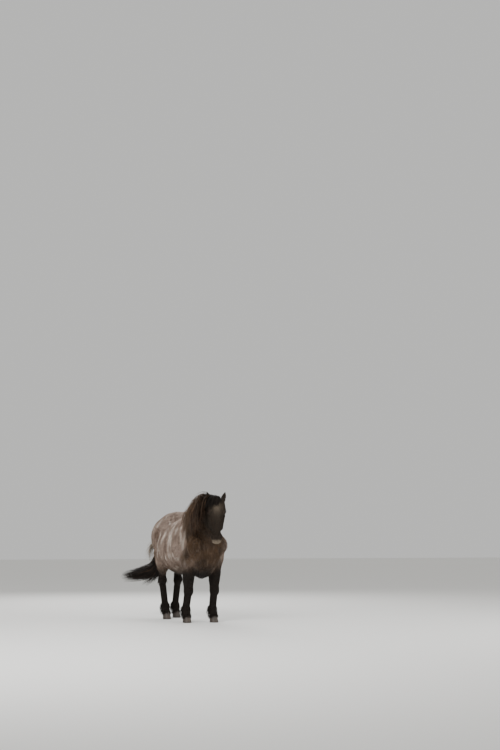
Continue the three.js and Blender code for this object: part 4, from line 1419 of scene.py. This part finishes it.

# %% [markdown]
# ## Every piece takes its place
# The skin stands for all the flesh of the fixed model, and the eyes and hooves for theirs.

# %% Pieces, materials and what they stand for
hair_pieces = mane + forelock + tail_hair + pale_hair + feathers + lashes
for pieces, material, slot in (
    ([skin], bare_skin, "body_coat"),
    (coat_body, body_hair, "body_coat"),
    (coat_legs, body_hair, "leg_coat"),
    (coat_face, face_hair, "face_coat"),
    (hair_pieces, long_hair, "hair"),
    (eyeballs, wet_eye, "eye"),
    (hooves, horn, "horn"),
):
    for piece in pieces:
        piece.data.materials.clear()
        piece.data.materials.append(material)
        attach(piece, "root")
flesh = ["torso", "neck", "head", "tail", "ear_left", "ear_right"]
flesh += [name + half for name, *_ in LEGS for half in ("_upper", "_lower")]
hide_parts(*flesh)
for eyeball, word in zip(eyeballs, ("left", "right")):
    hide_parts("eye_" + word)
for (name, *_), hoof in zip(LEGS, hooves):
    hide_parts(name + "_hoof")

# %% [markdown]
# ## The camera, the light and the floor
# The camera looks up a little at the horse from its right front, from thirteen metres away, as the
# photograph was taken. Broad lamps give a soft studio light.

# %% Camera
LENS = 50
AZIMUTH = math.radians(-27.5)
PITCH = math.radians(9.5)
DISTANCE = 13.3
ASIDE = 0.60
CAMERA_HEIGHT = 0.90
forward = np.array([-math.sin(AZIMUTH), math.cos(AZIMUTH), 0])
right = np.array([math.cos(AZIMUTH), math.sin(AZIMUTH), 0])
target = to_scene(np.array([0, -420, 0]))  # the ground between the forefeet
stand = target - DISTANCE * forward + ASIDE * right
camera = bpy.data.objects.new("camera", bpy.data.cameras.new("camera"))
bpy.context.collection.objects.link(camera)
camera.data.lens = LENS
camera.data.sensor_width = 36
camera.data.clip_end = 200
camera.location = (stand[0], stand[1], CAMERA_HEIGHT)
look = Vector(forward) * math.cos(PITCH) + Vector((0, 0, math.sin(PITCH)))
camera.rotation_euler = look.to_track_quat("-Z", "Y").to_euler()
bpy.context.scene.camera = camera
print("camera", [round(v, 3) for v in camera.location])


# %% Lamps, floor and world
LIT_POINT = Vector((0, 0, 0.9))


def lamp(name, at, size, power):
    made = bpy.data.objects.new(name, bpy.data.lights.new(name, "AREA"))
    made.data.size = size
    made.data.energy = power
    made.location = at
    made.rotation_euler = (LIT_POINT - Vector(at)).to_track_quat("-Z", "Y").to_euler()
    bpy.context.collection.objects.link(made)
    return made


lamp("key", (-5.0, -4.5, 5.0), 4.0, 480)
lamp("fill", (4.5, -5.0, 3.0), 5.0, 190)
lamp("rim", (1.5, 6.0, 5.5), 4.0, 360)
world = bpy.data.worlds.new("studio")
bpy.context.scene.world = world
world.use_nodes = True
backdrop = {"Color": srgb(232, 232, 230), "Strength": 0.8}
Nodes(world.node_tree).fill(world.node_tree.nodes["Background"], backdrop)
bpy.ops.mesh.primitive_plane_add(size=160, location=(0, 0, 0))
floor = bpy.context.object
floor.name = "floor"
paint, *_ = new_material("pale floor", {"Base Color": srgb(236, 235, 232), "Roughness": 0.9})
floor.data.materials.append(paint)
print("lamps", [light.name for light in bpy.data.lights])
